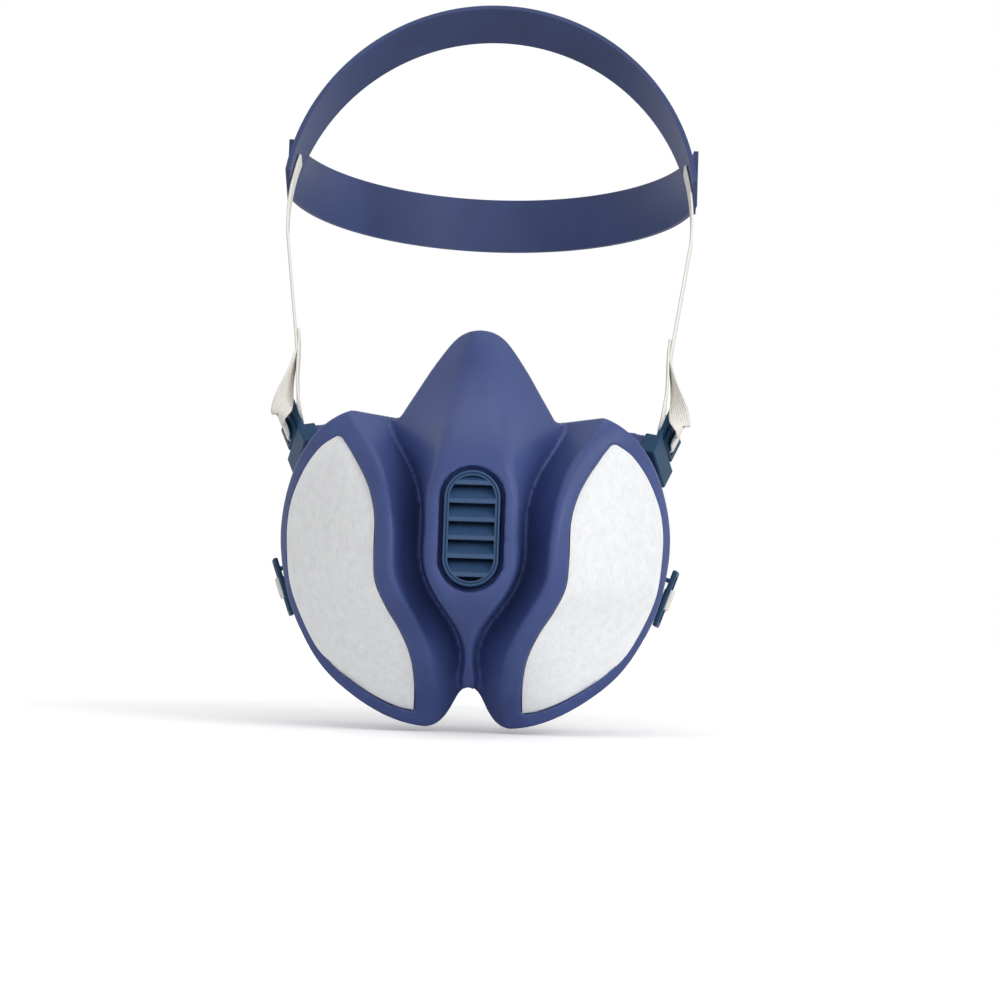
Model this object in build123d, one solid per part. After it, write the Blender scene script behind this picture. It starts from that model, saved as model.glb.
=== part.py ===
from build123d import *

import math
import os

os.makedirs("parts", exist_ok=True)

# A half mask respirator with two bonded filters. Millimetres. +X is the right of someone who
# looks at the mask, -Y is forward, away from the wearer, and +Z is up. The origin is the middle
# of the face opening, at the back of the seal and at the height of the exhalation valve.

# --- Shell ---------------------------------------------------------------------------------
mask_width = 145.2
mask_height = 146.3
mask_depth = 91.0
shell_wall = 2.4
crest_radius = 2.6
ridge_radius = 3.4
pod_depth = 21.0
pod_crown = 7.0
section_step = 12.0
groove_lap = 0.8
foot_lap = 3.0

# --- Face seal -----------------------------------------------------------------------------
seal_thickness = 2.0
seal_lip = 13.0
seat_gap = 0.2

# --- Filters -------------------------------------------------------------------------------
rim_skin = 3.0
window_sink = 1.6
prefilter_thickness = 4.4
fibre_thickness = 3.0
carbon_thickness = 6.4
retainer_thickness = 1.5
layer_gap = 0.3
vent_bore = 3.2
vent_pitch = 9.0

# --- Inhalation valves ---------------------------------------------------------------------
port_bore = 19.0
port_height = -8.0
port_flange = 2.6
port_plate = 1.4
port_stand = 1.0
inhale_flap_thickness = 0.7
inhale_flap_lift = 1.6
inhale_post = 3.0

# --- Exhalation valve ----------------------------------------------------------------------
valve_tilt = 6.3
valve_face = 88.4
cover_width = 20.3
cover_length = 42.0
cover_wall = 1.9
cover_rise = 2.2
cover_skirt = 7.2
cover_bevel = 0.8
moat_gap = 1.6
moat_depth = 2.6
fit_gap = 0.1
louvre_count = 6
louvre_pitch = 6.65
louvre_first = 16.65
louvre_sink = 0.5
louvre_slope = 55.0
louvre_thickness = 1.3
louvre_length = 7.2
collar_wall = 2.0
valve_seat_depth = 3.0
valve_seat_land = 2.6
valve_spoke = 1.6
exhale_flap_thickness = 0.8
exhale_flap_margin = 1.2
flap_peg_diameter = 1.6
flap_peg_height = 2.4
flap_peg_offset = 3.0
flap_peg_play = 0.35

# --- Strap buckles -------------------------------------------------------------------------
block_width = 8.8
block_thickness = 7.0
block_length = 21.4
block_corner = (-68.9, -14.0, 36.8)
block_tongue = 7.0
ladder_width = 10.3
ladder_length = 13.0
ladder_thickness = 3.6
ladder_rail = 1.0
ladder_bar = 2.6
ladder_bars = 3
ladder_gap = 0.4
ladder_headroom = 0.8
pin_diameter = 1.4
pin_clearance = 0.06
pin_grip = 5.0
rod_diameter = 2.6
rod_length = 13.5
rod_inset = 1.9

# --- Lower loops ---------------------------------------------------------------------------
loop_length = 22.3
loop_reach = 8.0
loop_bar = 1.9
loop_peg = 2.8

# --- Harness -------------------------------------------------------------------------------
strap_width = 8.0
strap_thickness = 1.2
head_half_width = 78.5
crown_angle = 58.0
crown_foot = 70.8
crown_spring = 70.0
strap_end_angle = 16.0
crown_reach = 165.0
cradle_start = 95.0
cradle_width = 22.0
cradle_thickness = 1.8
occiput_reach = 112.0
nape_reach = 130.0
neck_half_width = 62.0
neck_spring = 62.0
neck_foot = 72.0
neck_start = 12.0
clasp_thickness = 3.0
clasp_width = 17.0
clasp_wall = 3.0
clasp_reach = 13.0
clasp_slot = 2.4
clasp_bar = 2.8
clasp_play = 0.5
clasp_end = 1.0
hook_arm_start = -3.8
hook_arm_length = 10.4
hook_arm_thickness = 1.6
hook_nub_start = 3.2
hook_nub_length = 3.0
hook_root_length = 4.0
hook_root_rise = 1.0
hook_root_inset = 0.6
clasp_fold_round = 1.2

# --- Valve and port details ----------------------------------------------------------------
seat_drop = 2.0
seat_shortening = 4.0
seat_gap = 0.02
seat_relief = 0.1
flap_peg_root = 0.3
exhale_flap_gap = 0.08
exhale_flap_tab = 3.0
port_ring = 1.6
port_spoke = 1.4
post_head = 0.8
post_lip = 1.1
inhale_flap_margin = 1.2
inhale_post_play = 0.06

# --- The strap's legs above its buckle -----------------------------------------------------
leg_straight = 4.0
leg_join = 1.5
leg_lean = 1.0
leg_spread = 3.0
leg_rise = 1.0
fold_inner_round = 0.5
fold_outer_round = 1.4

# --- Guide curves: (height, value) pairs of the shell, each drawn for the size named above ---
ridge_half_guide = (
    (-66, 0.9), (-48, 1.2), (-36, 4.0), (-23, 12.8), (-14, 16.6), (10, 16.6), (28, 12), (52, 6.5),
    (82, 2),
)
ridge_front_guide = (
    (-66, -56), (-44, -78), (-26, -91.2), (24, -85.8), (45, -66), (66, -49), (75, -44), (82, -38),
)
ridge_round_guide = ((-80, 1), (12, 1), (30, 1.8), (48, 3), (82, 3.6))
groove_half_guide = (
    (-80, 0.7), (-56, 1.6), (-42, 2.6), (-34, 6.2), (-23, 13.8), (-14, 17.4), (4, 17.8), (15, 20),
    (31, 27), (38, 30.3), (58, 41),
)
groove_depth_guide = (
    (-80, -36), (-56, -54), (-40, -61), (-18, -63), (0, -61), (28, -48), (38, -40), (58, -25),
)
shoulder_half_guide = (
    (-80, 0.7), (-56, 1.6), (-42, 2.6), (-34, 6.2), (-23, 13.8), (-14, 17.4), (4, 17.8), (15, 20),
    (28, 26.5), (38, 31), (48, 26.5), (57, 21.5), (65, 16.5), (73, 10.5), (82, 5),
)
shoulder_depth_guide = (
    (-80, -36), (-56, -54), (-40, -61), (-18, -63), (0, -61), (15, -56), (28, -51), (38, -46),
    (48, -43), (57, -39), (65, -35), (73, -31), (82, -25),
)
crest_half_guide = (
    (-80, 12), (-54, 13), (-43, 15.7), (-32, 20.8), (-20, 27.6), (-4, 29), (15, 32), (28, 38.2),
    (42, 46.4), (58, 56),
)
crest_depth_guide = (
    (-80, -48), (-60, -66), (-40, -80), (-18, -86), (0, -83.5), (15, -76), (28, -66), (42, -52),
    (58, -36),
)
edge_half_guide = ((-80, 46), (-60, 62), (-30, 77), (0, 81), (28, 78), (58, 74))
edge_depth_guide = ((-80, -48), (-60, -35), (-30, -17), (0, -13), (28, -19), (58, -23))
flank_half_guide = ((-66, 13), (-48, 27), (-24, 41), (0, 44), (26, 38), (45, 34), (60, 28), (82, 22))
flank_depth_guide = ((-66, -24), (-36, -30), (0, -32), (39, -24), (82, -8))
brim_half_guide = ((-66, 24), (-48, 42), (-24, 54), (0, 56), (26, 45), (45, 38), (60, 31), (82, 24))
void_half_guide = ((-66, 2), (-34, 2.2), (-20, 9), (-10, 13), (12, 13), (30, 8), (52, 3.2), (72, 1.6))
void_front_guide = (
    (-66, -46), (-48, -56.2), (-34, -60), (-20, -68), (-10, -82), (12, -81), (26, -76), (45, -60),
    (72, -35),
)
face_depth_guide = (
    (-82, -44), (-64, -28), (-48, -14), (-30, -4), (-8, 0), (15, -2), (40, -13), (60, -26), (82, -42),
)

# The front outline of the whole mask, right half, from the top of the nose to the chin notch.
nose_outline = ((0, 73.1), (7.8, 70.8), (13, 65), (18.3, 57.2), (23.6, 48.3), (28.8, 39.6))
pod_outline = (
    (46.4, 42), (59.2, 33.6), (66, 23.7), (70.2, 12.5), (72.6, -3), (71.6, -16), (68.3, -29.7),
    (63, -41.2), (55, -52.7), (45.5, -60.9), (35, -67.4), (25, -71.5), (15.7, -73.2),
)
chin_outline = ((15.7, -73.2), (10.5, -71.2), (6.6, -66), (3.1, -60), (0, -58))
window_outline = (
    (50.3, 32.7), (45.6, 26.8), (40.9, 19.5), (37.5, 12.2), (35.4, 3), (35.2, -10), (34.3, -20.3),
    (30.3, -29.2), (25.1, -37.6), (21.2, -46.5), (19.6, -56), (19.6, -67.6),
)
window_rim_outline = (
    (19.6, -67.6), (26.2, -66.3), (36.6, -61.6), (47.1, -54.9), (56.1, -46), (62.9, -34.5),
    (67.6, -21.9), (69.2, -6), (68.6, 4), (66.5, 11.8), (62.3, 20.5), (56.6, 27.9), (50.3, 32.7),
)
seal_outline = (
    (0, 69), (15, 62), (28, 44), (42, 24), (52, 0), (50, -24), (38, -46), (19, -57), (0, -60),
)

pattern_width = 145.2
pattern_height = 146.3
pattern_depth = 91.0
wide = mask_width / pattern_width
tall = mask_height / pattern_height
deep = mask_depth / pattern_depth


def slope_of(left, mid, right):
    """The slope at a guide point: the harmonic mean of its neighbours', or level at a turn."""
    before = (mid[1] - left[1]) / (mid[0] - left[0])
    after = (right[1] - mid[1]) / (right[0] - mid[0])
    return 0 if before * after <= 0 else 2 * before * after / (before + after)


def along(guide, height, scale):
    """A guide's value at a height, by cubic pieces that never overshoot their points."""
    at = height / tall
    i = max(k for k in range(len(guide) - 1) if guide[k][0] <= at or k == 0)
    low, high = guide[i], guide[i + 1]
    step = high[0] - low[0]
    chord = (high[1] - low[1]) / step
    start = slope_of(guide[i - 1], low, high) if i > 0 else chord
    end = slope_of(low, high, guide[i + 2]) if i + 2 < len(guide) else chord
    t = (at - low[0]) / step
    rise = t * t * (3 - 2 * t)
    value = low[1] + (high[1] - low[1]) * rise
    value += step * (start * t * (1 - t) ** 2 - end * t * t * (1 - t))
    return value * scale


def drawn(points):
    """Outline points at the mask's own width and height."""
    return [(x * wide, z * tall) for x, z in points]


def heights(low, high):
    """Evenly spaced section heights from low to high, about section_step apart."""
    count = round((high - low) / section_step)
    return [(low + (high - low) * i / count) * tall for i in range(count + 1)]


def front_prism(face, near=-120.0, far=40.0):
    """A flat outline, drawn in X and Z, carried back from y = near to y = far."""
    return extrude(Plane.XZ.offset(-near) * face, far - near, dir=(0, 1, 0))


def mirrored(solid):
    """The same piece on the other side of the mask."""
    return mirror(solid, Plane.YZ)


def largest(shape):
    """The biggest solid of a shape, without the slivers that a trim can leave."""
    return max(shape.solids(), key=lambda s: s.volume)


def moved_in(points, amount, before, after):
    """Outline points moved to the right of their path by amount, with mitred corners."""
    chain = [before, *points, after]
    moved = []
    for last, here, following in zip(chain, chain[1:], chain[2:]):
        first = (Vector(here) - Vector(last)).normalized()
        second = (Vector(following) - Vector(here)).normalized()
        mitre = Vector(first.Y + second.Y, -first.X - second.X)
        shift = mitre * (2 * amount / mitre.dot(mitre)) if amount else Vector(0, 0)
        moved.append((here[0] + shift.X, here[1] + shift.Y))
    return moved


# --- Shell ---------------------------------------------------------------------------------
def mask_face(shrink=0.0):
    """The whole mask's front outline as one face, made smaller all round by shrink."""
    nose, pod, chin = drawn(nose_outline), drawn(pod_outline), drawn(chin_outline)
    half = nose + pod + chin[1:]
    half = moved_in(half, shrink, (-half[1][0], half[1][1]), (-half[-2][0], half[-2][1]))
    pod_start, chin_start = len(nose), len(nose) + len(pod) - 1
    right = Spline(*half[:pod_start], tangents=((1, 0), (0.5, -0.86)))
    right += Line(half[pod_start - 1], half[pod_start])
    right += Spline(*half[pod_start:chin_start + 1])
    right += Spline(*half[chin_start:])
    return make_face(right.edges() + mirror(right, Plane.YZ).edges())


def window_face(shrink=0.0):
    """The right filter window's outline as a face, made smaller all round by shrink."""
    inner, outer = drawn(window_outline), drawn(window_rim_outline)
    loop = inner + outer[1:-1]
    loop = moved_in(loop, -shrink, loop[-1], loop[0])
    low = len(inner) - 1
    return make_face([Spline(*loop[:low + 1]).edge(), Spline(*loop[low:], loop[0]).edge()])


def section(points, height):
    """A closed polygon in X and Y at a height, as a face."""
    return Plane.XY.offset(height) * make_face(Polyline(*points, close=True))


def cup_section(height, grow=0.0):
    """One level section of the central body: the ridge, its shoulders and the flanks."""
    ridge = along(ridge_half_guide, height, wide) + grow
    front = along(ridge_front_guide, height, deep) - grow
    shoulder = along(shoulder_half_guide, height, wide) + groove_lap + grow
    shoulder_depth = along(shoulder_depth_guide, height, deep) - grow
    flank = (along(flank_half_guide, height, wide) + grow, along(flank_depth_guide, height, deep) - grow)
    brim = along(brim_half_guide, height, wide) + grow
    right = [(ridge, front), (shoulder, shoulder_depth), flank, (brim, 12 * deep)]
    left = [(-x, y) for x, y in reversed(right)]
    face = section(right + left, height)
    corners = face.vertices().sort_by(Axis.Y)[:2]
    # A fillet takes up its radius times the tangent of half the turn on each side of its corner.
    side = Vector(shoulder - ridge, shoulder_depth - front)
    room = min(0.85 * ridge, 0.45 * side.length) / math.tan(math.atan2(side.Y, side.X) / 2)
    return fillet(corners, min(ridge_radius * along(ridge_round_guide, height, 1), room))


def cup_loft(low=-72, high=82, grow=0.0):
    return loft([cup_section(z, grow) for z in heights(low, high)])


def pod_frame(height):
    """The crest point, outer edge, groove and inward normal of a pod's level section."""
    crest = Vector(along(crest_half_guide, height, wide), along(crest_depth_guide, height, deep))
    edge = Vector(along(edge_half_guide, height, wide), along(edge_depth_guide, height, deep))
    groove = Vector(along(groove_half_guide, height, wide), along(groove_depth_guide, height, deep))
    run = (edge - crest).normalized()
    inward = Vector(-run.Y, run.X)
    return crest, edge, groove, run, inward


def sunk_arc(height, sink, wall):
    """The pod's crowned front line at a height, sunk by sink and kept wall off the inner wall."""
    crest, edge, groove, run, inward = pod_frame(height)
    side = (groove - crest).normalized()
    start = crest + side * (sink / side.dot(inward)) + run * (wall / abs(run.cross(side).Z))
    end = edge + inward * sink - run * wall
    middle = (crest + edge) * 0.5 + inward * (sink - pod_crown)
    return start, middle, end


def pod_layer_section(height, top, bottom, wall):
    """The part of a pod's level section between two depths under its front surface."""
    a, b, c = sunk_arc(height, top, wall)
    d, e, f = sunk_arc(height, bottom, wall)
    edges = [ThreePointArc(a, b, c), Line(c, f), ThreePointArc(f, e, d), Line(d, a)]
    return Plane.XY.offset(height) * make_face([edge.edge() for edge in edges])


def pod_layer(top, bottom, wall=0.0, low=-80, high=56):
    """A curved slab under the right pod's front surface, from depth top to depth bottom."""
    return loft([pod_layer_section(z, top, bottom, wall) for z in heights(low, high)])


def pod_section(height):
    """One level section of the right pod, with its crest rounded."""
    crest, edge, groove, run, inward = pod_frame(height)
    start, middle, end = sunk_arc(height, 0, 0)
    back = edge + inward * pod_depth
    side = (groove - crest).normalized()
    # The foot runs on behind the cup's skin, but stays on the pod's own side of the mask.
    foot = groove + side * min(foot_lap, 0.5 * groove.X / abs(side.X))
    edges = [ThreePointArc(start, middle, end), Line(end, back), Line(back, foot), Line(foot, start)]
    face = make_face([edge.edge() for edge in edges])
    corner = min(face.vertices(), key=lambda v: (Vector(v.X, v.Y) - start).length)
    return Plane.XY.offset(height) * fillet(corner, crest_radius)


def pod_loft():
    return loft([pod_section(z) for z in heights(-80, 56)])


def face_curve_solid(ahead):
    """All the space more than ahead in front of the wearer's face, as one wide solid."""
    curve = [(y * deep - ahead, z * tall) for z, y in face_depth_guide]
    line = Spline(*curve)
    low, high = curve[0], curve[-1]
    frame = Polyline(high, (-130, high[1]), (-130, low[1]), low)
    side = Plane.YZ.offset(-1.5 * mask_width) * make_face(line.edges() + frame.edges())
    return extrude(side, 3 * mask_width, dir=(1, 0, 0))


def void_section(height):
    """One level section of the space for the wearer's nose, mouth and chin."""
    flank = along(flank_half_guide, height, wide)
    shoulder = along(shoulder_half_guide, height, wide) - 1.2 * shell_wall
    half = along(void_half_guide, height, wide)
    right = [
        (half, along(void_front_guide, height, deep)),
        (max(shoulder, half + 0.8), along(shoulder_depth_guide, height, deep) + 0.85 * shell_wall),
        (flank - 1.1 * shell_wall, along(flank_depth_guide, height, deep) + 0.5 * shell_wall),
        (along(brim_half_guide, height, wide) - 1.1 * shell_wall, 16 * deep),
    ]
    return section(right + [(-x, y) for x, y in reversed(right)], height)


def void_loft():
    return loft([void_section(z) for z in heights(-55, 66)])


def stadium(width, length):
    """A slot outline with round ends that stands upright."""
    return SlotOverall(length, width, rotation=90)


on_base = (Align.CENTER, Align.CENTER, Align.MIN)
under_top = (Align.CENTER, Align.CENTER, Align.MAX)
from_corner = (Align.MIN, Align.MIN, Align.CENTER)


def bar_of(face, top, bottom):
    """A face drawn on a local plane's XY, carried from height top down to height bottom."""
    return extrude(Pos(0, 0, bottom) * face, top - bottom)


valve_plane = Plane(
    origin=(0, -valve_face * deep, 0),
    x_dir=(1, 0, 0),
    z_dir=(0, -math.cos(math.radians(valve_tilt)), math.sin(math.radians(valve_tilt))),
)
valve_floor = -(cover_skirt + valve_seat_depth)


def port_plane():
    """The right inhalation port: its origin on the cup's flank, its Z into the filter pod."""
    z = port_height
    groove = Vector(along(groove_half_guide, z, wide), along(groove_depth_guide, z, deep), z)
    flank = Vector(along(flank_half_guide, z, wide), along(flank_depth_guide, z, deep), z)
    run = (flank - groove).normalized()
    return Plane(origin=(groove + flank) * 0.5, x_dir=(0, 0, 1), z_dir=(run.Y, -run.X, 0))


# The left strap block's own frame: X runs down its lit end face, Y inward and Z up its length.
block_plane = Plane(origin=block_corner, x_dir=(0.366, -0.523, -0.770), z_dir=(0.220, -0.756, 0.618))
# The left lower loop's frame: X down its long bars and Y back, from its upper front corner.
loop_plane = Plane(origin=(-75.1, -23.1, -13.7), x_dir=(0.33, -0.05, -0.943), z_dir=(0.93, 0.15, 0.318))


def block_box(low, high):
    """A box between two corners of the left strap block's frame."""
    size = [h - l for l, h in zip(low, high)]
    box = Box(*size, align=(Align.MIN, Align.MIN, Align.MIN))
    return block_plane * Pos(*low) * box


def block_hull(grow=0.0):
    """The whole strap block as a box, made larger all round by grow."""
    low = (-grow, -grow, -block_length - grow)
    return block_box(low, (block_width + grow, block_thickness + grow, grow))


def tongue_box(grow=0.0):
    """The block's tongue, which is bonded into the pod's side."""
    low = (0.25 * block_width - grow, block_thickness - grow, -0.66 * block_length - grow)
    high = (0.75 * block_width + grow, block_thickness + block_tongue + grow, -0.2 * block_length + grow)
    return block_box(low, high)


def lug_box(grow=0.0):
    """The solid pad of the shell round the block's tongue."""
    wall = shell_wall + grow
    low = (0.25 * block_width - wall, block_thickness + seat_gap - grow, -0.66 * block_length - wall)
    high = (0.75 * block_width + wall, block_thickness + block_tongue + wall, -0.2 * block_length + wall)
    return block_box(low, high)


def loop_pegs(grow=0.0):
    """Two pegs that hold the left lower loop's front bar in the pod's side."""
    peg = Cylinder(0.45 * loop_bar + grow, loop_peg + grow, align=on_base)
    places = [0.2 * loop_length, 0.8 * loop_length]
    return Part() + [loop_plane * Pos(x, loop_bar / 2, 0) * peg for x in places]


def port_spotface():
    """The flat seat that the port ring's flange needs on the face side of the cup's wall."""
    align = (Align.CENTER, Align.CENTER, Align.MAX)
    radius = port_bore / 2 + port_flange + layer_gap
    return Pos(0, 0, -(shell_wall + port_stand - fit_gap)) * Cylinder(radius, 8, align=align)


def facepiece():
    cup = cup_loft()
    mask = front_prism(mask_face())
    face = face_curve_solid(seal_thickness + seat_gap)
    pod = pod_loft() & mask & face
    body = (cup & mask & face) + pod
    body = body + mirrored(pod)
    inner = front_prism(mask_face(shell_wall))
    body = body - (void_loft() & inner)
    collar_face = stadium(cover_width + 2 * collar_wall, cover_length + 2 * collar_wall)
    collar = valve_plane * bar_of(collar_face, -0.5, valve_floor - collar_wall)
    body = body + (collar & cup)
    bore = bar_of(stadium(cover_width + 2 * fit_gap, cover_length + 2 * fit_gap), 9, valve_floor)
    moat = bar_of(stadium(cover_width + 2 * moat_gap, cover_length + 2 * moat_gap), 9, -moat_depth)
    throat = bar_of(stadium(cover_width - 2 * valve_seat_land, cover_length - 2 * valve_seat_land), 0, -26)
    body = body - valve_plane * (bore + moat + throat)
    cavity = (pod_layer(rim_skin, pod_depth - shell_wall, shell_wall) & inner) - cup
    window = pod_layer(-9, window_sink + prefilter_thickness + layer_gap) & front_prism(window_face())
    port = port_plane() * (Cylinder(port_bore / 2, 16) + port_spotface())
    lug = mirrored(lug_box() - tongue_box(fit_gap))
    for side in (lambda piece: piece, mirrored):
        body = body - side(cavity) - side(window) - side(port)
    body = body + lug + mirrored(lug)
    pegs = loop_pegs(fit_gap)
    sockets = block_hull(seat_gap) + tongue_box(fit_gap)
    body = body - pegs - mirrored(pegs) - sockets - mirrored(sockets)
    return largest(body)


def face_seal():
    """The soft lip behind the shell's edge, which follows the wearer's face."""
    ring = front_prism(seal_face()) - front_prism(seal_face(seal_lip))
    sheet = face_curve_solid(0) - face_curve_solid(seal_thickness)
    return largest(ring & sheet)


def seal_face(shrink=0.0):
    """The outline of the face opening's edge, as a face, made smaller all round by shrink."""
    half = drawn(seal_outline)
    half = moved_in(half, shrink, (-half[1][0], half[1][1]), (-half[-2][0], half[-2][1]))
    right = Spline(*half, tangents=((1, 0), (-1, 0)))
    return make_face(right.edges() + mirror(right, Plane.YZ).edges())


def filter_layer(top, thickness, face):
    """A layer of one pod's filter between its inner walls, clear of the cup and the lug."""
    gap = layer_gap
    slab = pod_layer(top, top + thickness, shell_wall + gap) & front_prism(face)
    slab = slab - cup_loft(grow=gap) - mirrored(lug_box(gap) + block_hull(shell_wall))
    return largest(slab)


def prefilter():
    """The white crowned pad that fills the window."""
    slab = pod_layer(window_sink, window_sink + prefilter_thickness)
    slab = slab & front_prism(window_face(layer_gap))
    return largest(slab - cup_loft(grow=layer_gap))


def retainer(top, face):
    """The perforated plate that holds the bed, with a field of round vents over the port."""
    plate = filter_layer(top, retainer_thickness, face)
    spots = GridLocations(vent_pitch, vent_pitch, 5, 2).locations
    vent = Cylinder(vent_bore / 2, 60)
    return largest(plate - [port_plane() * spot * vent for spot in spots])


def port_seat():
    """The ring in the inhalation port, with a spider that carries the flap's post."""
    outer = port_bore / 2 - fit_gap
    plate_top = -(shell_wall + port_stand)
    plate_bottom = plate_top - port_plate
    tube = Pos(0, 0, 2) * Cylinder(outer, 2 - plate_bottom, align=under_top)
    flange = Pos(0, 0, plate_top) * Cylinder(outer + port_flange, port_plate, align=under_top)
    bore = Pos(0, 0, 3) * Cylinder(outer - port_ring, 12, align=under_top)
    ring = tube + flange - bore
    for turn in (0, 60, 120):
        spoke = Rot(0, 0, turn) * Box(2 * outer - 1, port_spoke, port_plate)
        ring = ring + Pos(0, 0, plate_top - port_plate / 2) * spoke
    travel = inhale_flap_thickness + inhale_flap_lift + 2 * fit_gap
    post = Cylinder(inhale_post / 2, port_plate + travel + post_head, align=under_top)
    post = Pos(0, 0, plate_top) * post
    head = Cone(inhale_post / 2 + post_lip, inhale_post / 2, post_head, align=under_top)
    head = Pos(0, 0, plate_bottom - travel) * head
    return port_plane() * (ring + post + head)


def inhale_flap():
    """The thin round membrane that lifts off the port's ring as the wearer breathes in."""
    top = -(shell_wall + port_stand + port_plate + fit_gap)
    disc = Cylinder(port_bore / 2 + inhale_flap_margin, inhale_flap_thickness, align=under_top)
    hole = Cylinder(inhale_post / 2 + inhale_post_play, 9)
    return port_plane() * Pos(0, 0, top) * (disc - hole)


def louvre(centre):
    """One louvre: a thin blade that slopes back and up from its front edge."""
    blade = Box(cover_width - cover_wall, louvre_thickness, louvre_length)
    slope = Rot(-louvre_slope, 0, 0) * Pos(0, 0, -louvre_length / 2)
    return Pos(0, centre, cover_rise - louvre_sink) * slope * blade


def cover():
    """The exhalation valve's cover: a round-ended frame with a lip and sloping louvres."""
    outline = stadium(cover_width, cover_length)
    hole = stadium(cover_width - 2 * cover_wall, cover_length - 2 * cover_wall)
    frame = bar_of(outline, cover_rise, -cover_skirt)
    frame = chamfer(frame.faces().sort_by(Axis.Z)[-1].edges(), cover_bevel * 0.5)
    frame = frame - bar_of(hole, cover_rise + 1, -cover_skirt - 1)
    inside = bar_of(hole, cover_rise - louvre_sink / 2, -cover_skirt + 2)
    blades = [louvre(louvre_first - i * louvre_pitch) for i in range(louvre_count)]
    return valve_plane * (frame + ((Part() + blades) & inside))


def seat_opening():
    """The exhalation seat's opening: its width, length and the height of its middle."""
    width = cover_width - 2 * cover_wall - 2 * valve_seat_land
    length = cover_length - 2 * cover_wall - 2 * valve_seat_land - seat_shortening
    return width, length, -seat_drop


def peg_height():
    width, length, middle = seat_opening()
    return middle + length / 2 + flap_peg_diameter / 2 + flap_peg_diameter


def valve_seat():
    """The plate under the cover, with a cross of spokes and two pegs for the flap."""
    width, length, middle = seat_opening()
    plate = bar_of(stadium(cover_width, cover_length), -cover_skirt - seat_gap, valve_floor + seat_relief)
    plate = plate - Pos(0, middle, 0) * bar_of(stadium(width, length), 0, valve_floor - 1)
    depth = 0.6 * valve_seat_depth
    low = valve_floor + seat_relief + depth / 2
    across = Box(width + 1, valve_spoke, depth)
    spokes = [Pos(0, middle, low) * Box(valve_spoke, length + 1, depth)]
    spokes += [Pos(0, middle + y, low) * across for y in (-length / 4, length / 4)]
    peg = Pos(0, peg_height(), -cover_skirt - flap_peg_root)
    peg = peg * Cylinder(flap_peg_diameter / 2, flap_peg_height, align=on_base)
    pegs = [Pos(x, 0, 0) * peg for x in (-flap_peg_offset, flap_peg_offset)]
    return valve_plane * (plate + spokes + pegs)


def exhale_flap():
    """The membrane that covers the seat's opening and hangs from the two pegs."""
    width, length, middle = seat_opening()
    margin = exhale_flap_margin
    bottom = -cover_skirt + exhale_flap_gap
    body = stadium(width + 2 * margin, length + 2 * margin + exhale_flap_tab)
    sheet = bar_of(body, bottom + exhale_flap_thickness, bottom)
    sheet = Pos(0, middle + exhale_flap_tab / 2, 0) * sheet
    hole = Pos(0, peg_height(), 0) * Cylinder(flap_peg_diameter / 2 + flap_peg_play, 30)
    return valve_plane * (sheet - [Pos(x, 0, 0) * hole for x in (-flap_peg_offset, flap_peg_offset)])


# --- Strap buckles -------------------------------------------------------------------------
ladder_reach = -(ladder_gap + ladder_width)
rod_drop = rod_diameter / 2 + 0.4
ladder_top = -(rod_drop + rod_diameter / 2 + ladder_headroom)
ladder_pitch = (ladder_length - ladder_bar) / (ladder_bars - 1)
pin_place = (ladder_thickness / 2, ladder_top - ladder_length / 2)


def along_block(radius, start, end, y, z):
    """A round bar along the block frame's X from start to end, at y and z."""
    bar = Cylinder(radius, end - start, align=on_base)
    return Pos(start, y, z) * Rot(0, 90, 0) * bar


def strap_block():
    """The block on the pod's side that carries the buckle's pin and the guide rod."""
    body = Box(block_width, block_thickness, block_length, align=(Align.MIN, Align.MIN, Align.MAX))
    body = chamfer(body.edges(), 0.5)
    body = body - along_block(pin_diameter / 2, -1, pin_grip, *pin_place)
    body = body - along_block(rod_diameter / 2, -1, pin_grip, rod_inset, -rod_drop)
    return block_plane * body + tongue_box()


def guide_rod():
    """The round bar that keeps the strap against the block."""
    rod = along_block(rod_diameter / 2, -rod_length, pin_grip, rod_inset, -rod_drop)
    tip = rod.faces().sort_by(Axis.X)[0].edges()
    return block_plane * fillet(tip, 0.45 * rod_diameter)


def buckle_pin():
    end = ladder_reach - 0.6
    pin = along_block(pin_diameter / 2, end, pin_grip - 0.1, *pin_place)
    return block_plane * pin


def ladder_buckle():
    """The ladder-lock frame: two rails and the bars that the strap doubles through."""
    top = ladder_top
    frame = Pos(ladder_reach, 0, top) * Box(
        ladder_width, ladder_thickness, ladder_length, align=(Align.MIN, Align.MIN, Align.MAX)
    )
    inner = ladder_width - 2 * ladder_rail
    pitch = ladder_pitch
    slot = Box(inner, 3 * ladder_thickness, pitch - ladder_bar)
    first = top - ladder_bar - (pitch - ladder_bar) / 2
    centre = ladder_reach + ladder_width / 2
    slots = [Pos(centre, 0, first - i * pitch) * slot for i in range(ladder_bars - 1)]
    frame = chamfer(frame.edges(), 0.4) - slots
    bore = along_block(pin_diameter / 2 + pin_clearance, ladder_reach - 1, 1, *pin_place)
    return block_plane * (frame - bore)


def lower_loop():
    """A thin upright frame that the neck strap passes round, with pegs into the pod's side."""
    frame = Box(loop_length, loop_reach, loop_bar, align=from_corner)
    slot = Box(loop_length - 2 * loop_bar, loop_reach - 2 * loop_bar, 9, align=from_corner)
    frame = fillet(frame.edges(), 0.35 * loop_bar)
    return loop_plane * (frame - Pos(loop_bar, loop_bar, 0) * slot) + loop_pegs()


# --- Harness -------------------------------------------------------------------------------
def level_plane(origin, rise):
    """A plane through the mask's width whose Y runs back, raised by rise degrees."""
    angle = math.radians(rise)
    return Plane(origin=origin, x_dir=(1, 0, 0), z_dir=(0, -math.sin(angle), math.cos(angle)))


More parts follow.
